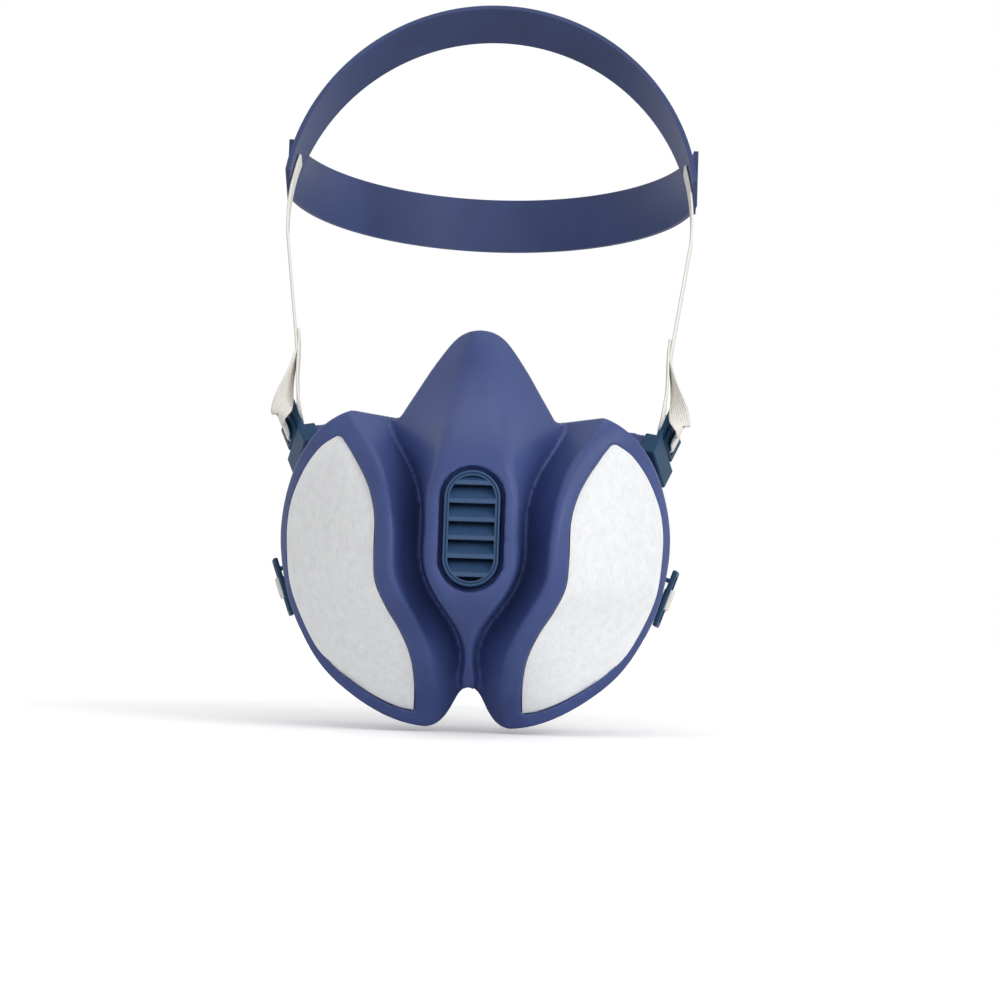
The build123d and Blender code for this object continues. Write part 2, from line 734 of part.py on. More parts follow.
crown_plane = level_plane((0, 0, 60), crown_angle)
occiput_plane = level_plane(crown_plane.from_local_coords((0, cradle_start, 0)), -8)
nape_plane = level_plane((0, -9, -24), -10)


def band(path, thickness, width):
    """A flat band of a width that stands on a plane along a path drawn on it."""
    return extrude(trace(path, thickness), width / 2, both=True)


def strap_section(plane, place, across, ahead):
    """A strap's cross-section at a place, its width along across and facing ahead."""
    origin = plane.from_local_coords(place)
    x_dir = plane.from_local_coords(Vector(place) + Vector(across)) - origin
    z_dir = plane.from_local_coords(Vector(place) + Vector(ahead)) - origin
    return Plane(origin=origin, x_dir=x_dir, z_dir=z_dir) * Rectangle(strap_width, strap_thickness)


def tangent_angle(foot, spring, half, rise):
    """Where a straight strap from foot (x, y) meets the left side of an ellipse, in degrees."""
    x, y = foot[0] / half, (foot[1] - spring) / rise
    return math.degrees(math.atan2(y, x) - math.acos(1 / math.hypot(x, y))) % 360


def ellipse_point(angle, spring, half, rise):
    turn = math.radians(angle)
    return half * math.cos(turn), spring + rise * math.sin(turn)


def crown_path(start_angle, end_angle, outward=0.0):
    """The arch over the crown, as a part of an ellipse."""
    return EllipticalCenterArc(
        (0, crown_spring), head_half_width + outward, crown_reach - crown_spring + outward,
        start_angle=start_angle, arc_size=end_angle - start_angle,
    )


def head_strap():
    """The left upper strap: a fold round the buckle's middle bar, two legs and the temple run."""
    foot = (-crown_foot, 0)
    crown = (crown_spring, head_half_width, crown_reach - crown_spring)
    touch = tangent_angle(foot, *crown)
    run = crown_path(180 - strap_end_angle, touch) + Line(ellipse_point(touch, *crown), foot)
    strap = crown_plane * band(run, strap_thickness, strap_width)
    middle = ladder_top - ladder_pitch - ladder_bar / 2
    room = 2 * layer_gap
    ply = room + 2 * strap_thickness
    hole = RectangleRounded(ladder_thickness + room, ladder_bar + room, fold_inner_round)
    edge = RectangleRounded(ladder_thickness + ply, ladder_bar + ply, fold_outer_round)
    centre = ladder_reach + ladder_width / 2
    # The fold's own plane has the bar's direction as its Z.
    fold_plane = Plane(origin=(centre, ladder_thickness / 2, middle), x_dir=(0, 1, 0), z_dir=(1, 0, 0))
    fold = fold_plane * extrude(edge - hole, strap_width / 2, both=True)
    side = ladder_thickness / 2 + layer_gap + strap_thickness / 2
    inner_y = ladder_thickness / 2 + side
    outer_y = ladder_thickness / 2 - side
    top = ladder_top
    across, up = (1, 0, 0), (0, 0, 1)
    join = strap_section(crown_plane, (-crown_foot, leg_join, 0), (0, 0, 1), (0.06, -1, 0))
    inner = [
        strap_section(block_plane, (centre, inner_y, middle), across, up),
        strap_section(block_plane, (centre, inner_y, top + leg_straight), across, up),
    ]
    lean = (centre - leg_lean, outer_y - leg_spread, top + leg_rise)
    outer = [
        strap_section(block_plane, (centre, outer_y, middle), across, up),
        strap_section(block_plane, lean, across, (0, -0.3, 1)),
    ]
    legs = [loft([first, second]) for first, second in (inner, outer)]
    legs += [loft([second, join]) for first, second in (inner, outer)]
    return largest(strap + block_plane * fold + legs)


def head_cradle():
    """The moulded cradle: one band over the crown and one round the back of the head."""
    outward = (strap_thickness + cradle_thickness) / 2 + 0.05
    start = strap_end_angle - 8
    crown = crown_plane * band(crown_path(start, 180 - start, outward), cradle_thickness, cradle_width)
    half = head_half_width + outward
    back = EllipticalCenterArc((0, 0), half, occiput_reach, start_angle=4, arc_size=172)
    occiput = occiput_plane * band(back, cradle_thickness, cradle_width)
    return largest(crown + occiput)


def nape_path(start_angle, end_angle):
    return EllipticalCenterArc(
        (0, neck_spring), neck_half_width, nape_reach - neck_spring,
        start_angle=start_angle, arc_size=end_angle - start_angle,
    )


def neck_strap():
    """The left lower strap: a fold round the loop's rear bar and the run to the nape."""
    start = (-neck_foot, neck_start)
    nape = (neck_spring, neck_half_width, nape_reach - neck_spring)
    touch = tangent_angle(start, *nape)
    end = math.degrees(math.acos(-clasp_bar_place / neck_half_width))
    run = Line(start, ellipse_point(touch, *nape)) + nape_path(end, touch)
    strap = nape_plane * band(run, strap_thickness, strap_width)
    centre = loop_length / 2
    rear = loop_reach - loop_bar / 2
    room = loop_bar / 2 + layer_gap
    fold = Cylinder(room + strap_thickness, strap_width) - Cylinder(room, 2 * strap_width)
    fold = loop_plane * Pos(centre, rear, 0) * Rot(0, 90, 0) * fold
    first = (centre, rear + room + strap_thickness / 2, 0)
    sections = [
        strap_section(loop_plane, first, (1, 0, 0), (0, 1, 0)),
        strap_section(nape_plane, (start[0], start[1] + 1, 0), (0, 0, -1), (0.08, 1, 0)),
    ]
    room = 2 * layer_gap
    ply = room + 2 * strap_thickness
    hole = Rectangle(clasp_bar + room, clasp_thickness + room)
    edge = RectangleRounded(clasp_bar + ply, clasp_thickness + ply, clasp_fold_round)
    turn = extrude(edge - hole, strap_width / 2, both=True)
    turn = nape_plane * Pos(-clasp_bar_place, clasp_height(), 0) * turn
    return largest(strap + fold + loft(sections) + turn)


clasp_bar_place = clasp_reach + (clasp_slot + clasp_bar) / 2


def clasp_height():
    """How far back the clasp's middle lies: the strap's inner ply runs just inside its plate."""
    share = clasp_bar_place / neck_half_width
    strap = neck_spring + (nape_reach - neck_spring) * math.sqrt(1 - share * share)
    return strap + strap_thickness / 2 + layer_gap + clasp_thickness / 2


def clasp_half(side):
    """One half of the neck clasp: a plate with a slot that the strap's end is folded through."""
    near, far = clasp_end, clasp_bar_place + clasp_bar / 2
    plate = Box(far - near, clasp_thickness, clasp_width)
    slot = Box(clasp_slot, 3 * clasp_thickness, strap_width + 4 * layer_gap)
    plate = fillet(plate.edges().filter_by(Axis.Y), 2.0)
    place = Pos(side * (far + near) / 2, clasp_height(), 0)
    return place * plate - Pos(side * clasp_reach, clasp_height(), 0) * slot


def neck_eye():
    """The clasp's right half, with the window that the hook drops into."""
    window = Box(hook_nub_length + 2 * clasp_play, 3 * clasp_thickness, clasp_width - 2 * clasp_wall)
    window = Pos(hook_nub_start + hook_nub_length / 2, clasp_height(), 0) * window
    return nape_plane * (clasp_half(1) - window)


def neck_hook():
    """The clasp's left half: an arm outside the eye with a nub in its window."""
    above = clasp_height() + clasp_thickness / 2 + layer_gap
    width = clasp_width - 2 * clasp_wall - 2 * clasp_play
    arm = Box(hook_arm_length, hook_arm_thickness, width, align=(Align.MIN, Align.MIN, Align.CENTER))
    depth = clasp_thickness + 2 * layer_gap
    nub = Box(hook_nub_length, depth, width, align=(Align.MIN, Align.MAX, Align.CENTER))
    root = Box(hook_root_length, hook_root_rise, width, align=(Align.CENTER, Align.MIN, Align.CENTER))
    hook = Pos(hook_arm_start, above, 0) * arm + Pos(hook_nub_start, above + 0.1, 0) * nub
    hook = hook + Pos(hook_arm_start + hook_root_inset, above - hook_root_rise, 0) * root
    return nape_plane * (clasp_half(-1) + hook)


# --- The parts -----------------------------------------------------------------------------
def write(name, solid):
    export_step(solid, f"parts/{name}.step")


def write_pair(name, right):
    write(f"{name}_right", right)
    write(f"{name}_left", mirrored(right))


def build():
    write("facepiece", facepiece())
    write("face_seal", face_seal())
    bed = mask_face(shell_wall + layer_gap)
    fibre_top = window_sink + prefilter_thickness + layer_gap
    carbon_top = fibre_top + fibre_thickness + layer_gap
    retainer_top = carbon_top + carbon_thickness + layer_gap
    write_pair("prefilter", prefilter())
    write_pair("fibre_filter", filter_layer(fibre_top, fibre_thickness, bed))
    write_pair("carbon_bed", filter_layer(carbon_top, carbon_thickness, bed))
    write_pair("bed_retainer", retainer(retainer_top, bed))
    write_pair("inhale_seat", port_seat())
    write_pair("inhale_flap", inhale_flap())
    write("exhale_cover", cover())
    write("exhale_seat", valve_seat())
    write("exhale_flap", exhale_flap())
    write_pair("strap_block", mirrored(strap_block()))
    write_pair("guide_rod", mirrored(guide_rod()))
    write_pair("buckle_pin", mirrored(buckle_pin()))
    write_pair("ladder_buckle", mirrored(ladder_buckle()))
    write_pair("lower_loop", mirrored(lower_loop()))
    write_pair("head_strap", mirrored(head_strap()))
    write("head_cradle", head_cradle())
    write_pair("neck_strap", mirrored(neck_strap()))
    write("neck_eye", neck_eye())
    write("neck_hook", neck_hook())


if __name__ == "__main__":
    build()
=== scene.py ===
"""Dresses the half mask respirator: skins, felt pads, webbing and finishes over its fixed frame.

Lengths are written in millimetres, as a maker would, and turned to metres where a mesh is made.
+X is the right of someone who looks at the mask, -Y is forward and +Z is up.
"""

import logging
import math
from dataclasses import dataclass, field
from enum import Enum

import bmesh
import bpy
import numpy as np
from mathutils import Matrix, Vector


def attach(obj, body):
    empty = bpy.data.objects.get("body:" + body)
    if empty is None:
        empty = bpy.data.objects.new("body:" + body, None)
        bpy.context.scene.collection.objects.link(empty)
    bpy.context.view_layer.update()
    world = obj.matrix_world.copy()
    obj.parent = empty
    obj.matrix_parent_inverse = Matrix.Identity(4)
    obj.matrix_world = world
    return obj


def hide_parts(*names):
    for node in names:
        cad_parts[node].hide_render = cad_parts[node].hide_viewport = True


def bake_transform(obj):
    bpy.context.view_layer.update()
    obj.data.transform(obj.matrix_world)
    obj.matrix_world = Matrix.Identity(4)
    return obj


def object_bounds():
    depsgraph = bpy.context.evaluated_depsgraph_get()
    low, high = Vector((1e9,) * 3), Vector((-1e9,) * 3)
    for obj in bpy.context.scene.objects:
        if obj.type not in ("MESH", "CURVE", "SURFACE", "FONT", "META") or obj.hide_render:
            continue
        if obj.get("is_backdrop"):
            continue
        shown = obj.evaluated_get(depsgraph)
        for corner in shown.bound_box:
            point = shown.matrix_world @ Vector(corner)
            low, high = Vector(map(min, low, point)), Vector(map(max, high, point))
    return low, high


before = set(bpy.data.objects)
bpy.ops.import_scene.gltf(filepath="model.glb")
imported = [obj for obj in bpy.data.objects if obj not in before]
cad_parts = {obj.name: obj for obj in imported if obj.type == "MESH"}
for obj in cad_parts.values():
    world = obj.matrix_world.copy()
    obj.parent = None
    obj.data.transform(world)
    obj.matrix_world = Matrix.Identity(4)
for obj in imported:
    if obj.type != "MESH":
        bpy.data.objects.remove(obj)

MM = 0.001
LOG = logging.getLogger("respirator")
Guide = tuple[tuple[float, float], ...]


class Side(Enum):
    """The two sides of the mask, as someone who looks at it sees them."""

    LEFT = -1
    RIGHT = 1

    @property
    def tag(self) -> str:
        """The side's name as node names end with it."""
        return self.name.lower()


# --- Small tools ---
def linear(colour: str) -> tuple[float, float, float, float]:
    """Turn an sRGB hex colour to linear light.

    Each channel c goes to c / 12.92 below 0.04045 and to ((c + 0.055) / 1.055) ** 2.4 above.

    Args:
        colour: Six hex digits after a hash.

    Returns:
        Red, green, blue and an alpha of one.
    """
    raw = np.array([int(colour[i:i + 2], 16) for i in (1, 3, 5)]) / 255
    out = np.where(raw <= 0.04045, raw / 12.92, ((raw + 0.055) / 1.055) ** 2.4)
    return (*out.tolist(), 1.0)


def add_node(tree: bpy.types.NodeTree, kind: str, sockets: dict | None = None, links: dict | None = None,
             **settings: object) -> bpy.types.Node:
    """Add one shader node.

    Args:
        tree: The material's node tree.
        kind: The node type's name after ShaderNode.
        sockets: Values for input sockets, by name or number.
        links: Output sockets to join to input sockets, by name or number.
        settings: Properties of the node itself.

    Returns:
        The new node.
    """
    node = tree.nodes.new(f"ShaderNode{kind}")
    for name, value in settings.items():
        setattr(node, name, value)
    for name, value in (sockets or {}).items():
        node.inputs[name].default_value = value
    for name, source in (links or {}).items():
        tree.links.new(source, node.inputs[name])
    return node


def put(name: str, data: bpy.types.ID) -> bpy.types.Object:
    """Make an object for a mesh, a camera or a light and link it to the scene."""
    made = bpy.data.objects.new(name, data)
    bpy.context.scene.collection.objects.link(made)
    return made


def new_piece(name: str, points: np.ndarray, faces: list[list[int]], body: str | None,
              material: bpy.types.Material) -> bpy.types.Object:
    """Put points and faces into a smooth-shaded mesh object.

    Args:
        name: The piece's name.
        points: Rows of x, y and z in millimetres.
        faces: Four or three point numbers for each face.
        body: The body that the piece rides on, or none to leave it unattached.
        material: Its finish.

    Returns:
        The new object, at the origin.
    """
    mesh = bpy.data.meshes.new(name)
    mesh.from_pydata((points * MM).tolist(), [], faces)
    mesh.validate()
    mesh.polygons.foreach_set("use_smooth", np.ones(len(mesh.polygons), bool))
    mesh.materials.append(material)
    piece = put(name, mesh)
    if body:
        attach(piece, body)
    LOG.info("%s: %d faces on %s", name, len(mesh.polygons), body or "two bodies")
    return piece


def grid_faces(rows: int, columns: int, loop_rows: bool = False, loop_columns: bool = False) -> np.ndarray:
    """Quads between the points of a grid that is numbered row by row.

    Face (i, j) joins points (i, j), (i, j + 1), (i + 1, j + 1) and (i + 1, j), and a looped side
    counts on from its last line to its first.

    Args:
        rows: How many rows of points.
        columns: How many points in a row.
        loop_rows: Join the last row to the first.
        loop_columns: Join each row's last point to its first.

    Returns:
        An array with four point numbers in each row.
    """
    i, j = np.meshgrid(np.arange(rows if loop_rows else rows - 1),
                       np.arange(columns if loop_columns else columns - 1), indexing="ij")
    k, m = (i + 1) % rows, (j + 1) % columns
    quads = np.stack([i * columns + j, i * columns + m, k * columns + m, k * columns + j], axis=-1)
    return quads.reshape(-1, 4)


def along(guide: Guide, height: np.ndarray) -> np.ndarray:
    """Read a guide curve at many heights.

    Cubic pieces join the guide's points. The slope at a point is the harmonic mean of its two
    chords', or level at a turn, so that the curve never overshoots.

    Args:
        guide: Pairs of height and value, lowest first.
        height: Heights in millimetres.

    Returns:
        The values, shaped as height.
    """
    at, value = np.array(guide, float).T
    chord = np.diff(value) / np.diff(at)
    product, total = chord[:-1] * chord[1:], chord[:-1] + chord[1:]
    rising = product > 0
    inner = np.where(rising, 2 * product / np.where(rising, total, 1), 0)
    slope = np.concatenate([chord[:1], inner, chord[-1:]])
    k = np.clip(np.searchsorted(at, height, side="right") - 1, 0, len(at) - 2)
    step = at[k + 1] - at[k]
    t = (height - at[k]) / step
    rise = t * t * (3 - 2 * t)
    curve = value[k] + (value[k + 1] - value[k]) * rise
    return curve + step * (slope[k] * t * (1 - t) ** 2 - slope[k + 1] * t * t * (1 - t))


def eased(points: np.ndarray, count: int, closed: bool = False) -> np.ndarray:
    """Draw an even, smooth line through points.

    Each stretch is the Catmull-Rom cubic of its two ends and their neighbours, and the line is
    then read again at equal lengths.

    Args:
        points: Rows of coordinates that the line passes through.
        count: How many points to return.
        closed: Join the last point to the first.

    Returns:
        Rows of coordinates, evenly spaced.
    """
    p = np.asarray(points, float)
    ring = np.vstack([p[-1], p, p[:2]]) if closed else np.vstack([2 * p[0] - p[1], p, 2 * p[-1] - p[-2]])
    a, b, c, d = ring[:-3, None], ring[1:-2, None], ring[2:-1, None], ring[3:, None]
    t = np.linspace(0, 1, 25)[None, :-1, None]
    curve = 0.5 * (2 * b + (c - a) * t + (2 * a - 5 * b + 4 * c - d) * t**2 + (3 * b - a - 3 * c + d) * t**3)
    curve = np.vstack([curve.reshape(-1, p.shape[1]), ring[-2] if not closed else ring[1]])
    length = np.concatenate([[0], np.cumsum(np.linalg.norm(np.diff(curve, axis=0), axis=1))])
    stops = np.linspace(0, length[-1], count + 1)[:-1] if closed else np.linspace(0, length[-1], count)
    return np.stack([np.interp(stops, length, curve[:, n]) for n in range(p.shape[1])], axis=1)


def unit(rows: np.ndarray) -> np.ndarray:
    """Scale each row to a length of one."""
    return rows / np.maximum(np.linalg.norm(rows, axis=-1, keepdims=True), 1e-9)


@dataclass(frozen=True)
class Place:
    """A local frame: an origin and three directions, as the frame's own pieces are drawn on."""

    origin: tuple[float, float, float]
    x_dir: tuple[float, float, float]
    z_dir: tuple[float, float, float]

    def to_world(self, points: np.ndarray) -> np.ndarray:
        """Carry local points to the mask's frame: origin + x X + y (Z cross X) + z Z."""
        x, z = unit(np.array(self.x_dir)), unit(np.array(self.z_dir))
        return np.array(self.origin) + np.asarray(points, float) @ np.stack([x, np.cross(z, x), z])

    def turned(self, directions: np.ndarray) -> np.ndarray:
        """Carry local directions to the mask's frame."""
        return self.to_world(directions) - np.array(self.origin)


def level_place(origin: tuple[float, float, float], rise: float) -> Place:
    """A frame whose Y runs back and up by rise degrees."""
    angle = math.radians(rise)
    return Place(origin, (1, 0, 0), (0, -math.sin(angle), math.cos(angle)))


def mirrored(points: np.ndarray, side: Side) -> np.ndarray:
    """Turn points drawn for the left side to the side that is asked for."""
    return points * np.array([-side.value, 1, 1])


# --- Finishes ---
@dataclass(frozen=True)
class Finish:
    """A procedural material that is made once and then found again by its name."""

    name: str

    def material(self) -> bpy.types.Material:
        """Find the finish's material, or make it and wire its nodes.

        Returns:
            The material.
        """
        made = bpy.data.materials.get(self.name)
        if made is None:
            made = bpy.data.materials.new(self.name)
            made.use_nodes = True
            self.wire(made.node_tree, made.node_tree.nodes["Principled BSDF"])
        return made

    def wire(self, tree: bpy.types.NodeTree, shader: bpy.types.Node) -> None:
        """Add the finish's nodes and join them to the surface shader.

        Args:
            tree: The material's node tree.
            shader: Its surface shader.
        """
        raise NotImplementedError


@dataclass(frozen=True)
class MouldedFinish(Finish):
    """A moulded plastic or rubber: satin skin with a fine spark texture and a faint cloudiness.

    The cloudiness gives the eye the slow change of tone that a moulding has where the melt met,
    and the grain breaks the highlight up so that it looks soft and not lacquered.
    """

    colour: str
    shade: str
    roughness: float
    ior: float = 1.5
    grain_mm: float = 0.35
    grain_depth_mm: float = 0.012
    cloud_mm: float = 26.0
    cloud_span: tuple[float, float] = (0.3, 0.7)
    smoother: float = 0.05
    rougher: float = 0.06
    bump: float = 0.5
    sheen: float = 0.0
    specular: float = 0.3

    def wire(self, tree: bpy.types.NodeTree, shader: bpy.types.Node) -> None:
        """Join the clouded colour, the roughness and the grain."""
        place = add_node(tree, "TexCoord").outputs["Object"]
        cloud = add_node(tree, "TexNoise", {"Scale": 1 / (self.cloud_mm * MM), "Detail": 4.0},
                         {"Vector": place})
        tone = add_node(tree, "ValToRGB", links={"Fac": cloud.outputs["Fac"]})
        for stop, position, colour in zip(tone.color_ramp.elements, self.cloud_span, (self.shade, self.colour)):
            stop.position, stop.color = position, linear(colour)
        grain = add_node(tree, "TexNoise", {"Scale": 1 / (self.grain_mm * MM), "Detail": 2.0},
                         {"Vector": place})
        rough = add_node(tree, "MapRange", {"To Min": self.roughness - self.smoother,
                                            "To Max": self.roughness + self.rougher},
                         {"Value": cloud.outputs["Fac"]})
        bump = add_node(tree, "Bump", {"Strength": self.bump, "Distance": self.grain_depth_mm * MM},
                        {"Height": grain.outputs["Fac"]})
        shader.inputs["IOR"].default_value = self.ior
        shader.inputs["Sheen Weight"].default_value = self.sheen
        shader.inputs["Specular IOR Level"].default_value = self.specular
        tree.links.new(tone.outputs["Color"], shader.inputs["Base Color"])
        tree.links.new(rough.outputs["Result"], shader.inputs["Roughness"])
        tree.links.new(bump.outputs["Normal"], shader.inputs["Normal"])


@dataclass(frozen=True)
class FeltFinish(Finish):
    """Needle-punched or air-laid fibre: matt, with a mottled web of fine threads.

    Two stretched noises stand for threads that cross, and a slower one for the thick and thin
    places of the web, so that the surface looks soft and dry.
    """

    colour: str
    shade: str
    thread_mm: float = 0.5
    thread_turns: tuple[float, float] = (0.5, -0.9)
    thread_lean: float = 0.2
    thread_stretch: tuple[float, float, float] = (1, 0.6, 0.16)
    mottle_mm: float = 3.5
    mottle_share: float = 0.6
    tone_span: tuple[float, float] = (0.55, 1.0)
    depth_mm: float = 0.12
    bump: float = 0.7
    roughness: float = 0.95
    specular: float = 0.2
    sheen: float = 0.15

    def wire(self, tree: bpy.types.NodeTree, shader: bpy.types.Node) -> None:
        """Join the colour and the bump of the fibre web."""
        place = add_node(tree, "TexCoord").outputs["Object"]
        heights = []
        for turn in self.thread_turns:
            turned = add_node(tree, "Mapping", {"Rotation": (0, turn, self.thread_lean),
                                                "Scale": self.thread_stretch}, {"Vector": place})
            threads = add_node(tree, "TexNoise", {"Scale": 1 / (self.thread_mm * MM), "Detail": 3.0},
                               {"Vector": turned.outputs["Vector"]})
            heights.append(threads.outputs["Fac"])
        web = add_node(tree, "Math", links={0: heights[0], 1: heights[1]}, operation="MAXIMUM")
        mottle = add_node(tree, "TexNoise", {"Scale": 1 / (self.mottle_mm * MM), "Detail": 4.0},
                          {"Vector": place})
        both = add_node(tree, "Math", {1: self.mottle_share},
                        {0: mottle.outputs["Fac"], 2: web.outputs["Value"]}, operation="MULTIPLY_ADD")
        tone = add_node(tree, "ValToRGB", links={"Fac": both.outputs["Value"]})
        for stop, position, colour in zip(tone.color_ramp.elements, self.tone_span, (self.shade, self.colour)):
            stop.position, stop.color = position, linear(colour)
        bump = add_node(tree, "Bump", {"Strength": self.bump, "Distance": self.depth_mm * MM},
                        {"Height": both.outputs["Value"]})
        shader.inputs["Roughness"].default_value = self.roughness
        shader.inputs["Specular IOR Level"].default_value = self.specular
        shader.inputs["Sheen Weight"].default_value = self.sheen
        tree.links.new(tone.outputs["Color"], shader.inputs["Base Color"])
        tree.links.new(bump.outputs["Normal"], shader.inputs["Normal"])


@dataclass(frozen=True)
class WebbingFinish(Finish):
    """Woven elastic webbing: rubber cords along it, covered by picks of yarn across it.

    The cords give the eye long ribs and the picks a fine tooth across them. Its pattern reads
    the webbing's own UV map, which is in metres across and along.
    """

    colour: str
    shade: str
    cord_mm: float = 0.9
    pick_mm: float = 0.7
    pick_share: float = 0.5
    waver: float = 0.6
    depth_mm: float = 0.16
    bump: float = 0.8
    roughness: float = 0.85
    specular: float = 0.3
    sheen: float = 0.2

    def wire(self, tree: bpy.types.NodeTree, shader: bpy.types.Node) -> None:
        """Join the colour and the bump of the weave."""
        place = add_node(tree, "TexCoord").outputs["UV"]
        waves = []
        for pitch, axis in ((self.cord_mm, "X"), (self.pick_mm, "Y")):
            # A wave texture repeats every pi / 10 at a scale of one.
            wave = add_node(tree, "TexWave", {"Scale": 0.1 * math.pi / (pitch * MM), "Distortion": self.waver,
                                              "Detail": 1.0}, {"Vector": place}, bands_direction=axis)
            waves.append(wave.outputs["Fac"])
        weave = add_node(tree, "Math", {1: self.pick_share}, {0: waves[1], 2: waves[0]},
                         operation="MULTIPLY_ADD")
        tone = add_node(tree, "ValToRGB", links={"Fac": weave.outputs["Value"]})
        tone.color_ramp.elements[0].color = linear(self.shade)
        tone.color_ramp.elements[1].color = linear(self.colour)
        bump = add_node(tree, "Bump", {"Strength": self.bump, "Distance": self.depth_mm * MM},
                        {"Height": weave.outputs["Value"]})
        shader.inputs["Roughness"].default_value = self.roughness
        shader.inputs["Specular IOR Level"].default_value = self.specular
        shader.inputs["Sheen Weight"].default_value = self.sheen
        tree.links.new(tone.outputs["Color"], shader.inputs["Base Color"])
        tree.links.new(bump.outputs["Normal"], shader.inputs["Normal"])


@dataclass(frozen=True)
class DrawnSteel(Finish):
    """Drawn steel pin: bare metal whose fine uneven roughness breaks the highlight up a little."""

    name: str = "drawn_steel"
    colour: str = "#b9bdc2"
    speck_mm: float = 0.12
    smoothest: float = 0.22
    roughest: float = 0.42

    def wire(self, tree: bpy.types.NodeTree, shader: bpy.types.Node) -> None:
        """Join the metal's colour and its uneven roughness."""
        place = add_node(tree, "TexCoord").outputs["Object"]
        specks = add_node(tree, "TexNoise", {"Scale": 1 / (self.speck_mm * MM)}, {"Vector": place})
        rough = add_node(tree, "MapRange", {"To Min": self.smoothest, "To Max": self.roughest},
                         {"Value": specks.outputs["Fac"]})
        shader.inputs["Base Color"].default_value = linear(self.colour)
        shader.inputs["Metallic"].default_value = 1.0
        tree.links.new(rough.outputs["Result"], shader.inputs["Roughness"])


# Injection-moulded thermoplastic elastomer: a satin navy skin, a little rubbery.
SHELL_ELASTOMER = MouldedFinish("navy_elastomer", "#43538a", "#3a497c", 0.42, grain_mm=0.3)
# Moulded silicone: softer and duller than the shell, with a faint sheen.
SEAL_SILICONE = MouldedFinish("navy_silicone", "#3a4878", "#333f6a", 0.55, ior=1.43, sheen=0.08)
# Moulded polypropylene: greener and glossier than the shell, as the valve cover is.
COVER_PLASTIC = MouldedFinish("cover_polypropylene", "#36537a", "#304c6f", 0.34, grain_mm=0.25)
# Moulded nylon of the buckles: a dark steel blue with only a weak highlight.
BLOCK_PLASTIC = MouldedFinish("buckle_nylon", "#2f5170", "#294762", 0.38, grain_mm=0.25, specular=0.12)
# Moulded polypropylene inside the filter pods, plain and matt.
INNER_PLASTIC = MouldedFinish("pod_polypropylene", "#37436a", "#303b5d", 0.5)
# Soft moulded cradle, a shade greyer than the shell.
CRADLE_PLASTIC = MouldedFinish("cradle_elastomer", "#3b4a78", "#34416a", 0.48)
# Thin silicone sheet of the valve membranes, coloured dark as painted shade so that the louvres' gaps look
# deep.
FLAP_SHADE_SILICONE = MouldedFinish("membrane_silicone_painted_shade", "#3c4554", "#333b49", 0.4, ior=1.43)
# Needle-punched polyester prefilter: bright, dry and slightly fluffy.
FILTER_FELT = FeltFinish("needled_felt", "#f8f9fa", "#e9eaec")
# Melt-blown particle web behind it, finer and flatter.
FILTER_FIBRE = FeltFinish("melt_blown_web", "#e0e3e5", "#cdd1d3", thread_mm=0.3, depth_mm=0.06)
# Activated carbon granules bonded in a web: near black and gritty.
CARBON_WEB = FeltFinish("carbon_web", "#2f3031", "#1c1d1e", thread_mm=0.9, mottle_mm=1.6, depth_mm=0.3)
# Cream braided elastic of the harness.
STRAP_ELASTIC = WebbingFinish("braided_elastic", "#fbf8f1", "#e9e5dc")
PIN_STEEL = DrawnSteel()

# Both valve membranes take the silicone whose dark colour is painted shade in the gaps in front of them.
NODE_FINISHES = {
    "exhale_cover": COVER_PLASTIC, "exhale_seat": INNER_PLASTIC, "exhale_flap": FLAP_SHADE_SILICONE,
    "neck_eye": BLOCK_PLASTIC, "neck_hook": BLOCK_PLASTIC, "head_cradle": CRADLE_PLASTIC,
    "fibre_filter": FILTER_FIBRE, "carbon_bed": CARBON_WEB, "bed_retainer": INNER_PLASTIC,
    "inhale_seat": INNER_PLASTIC, "inhale_flap": FLAP_SHADE_SILICONE, "strap_block": BLOCK_PLASTIC,
    "guide_rod": BLOCK_PLASTIC, "buckle_pin": PIN_STEEL, "ladder_buckle": BLOCK_PLASTIC,
    "lower_loop": BLOCK_PLASTIC,
}


def dress_nodes() -> None:
    """Give every carried-over solid of the frame its finish, by the start of its name."""
    for name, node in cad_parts.items():
        finish = next((f for start, f in NODE_FINISHES.items() if name.startswith(start)), INNER_PLASTIC)
        material = finish.material()
        if not node.material_slots:
            node.data.materials.append(material)
        for slot in node.material_slots:
            slot.material = material


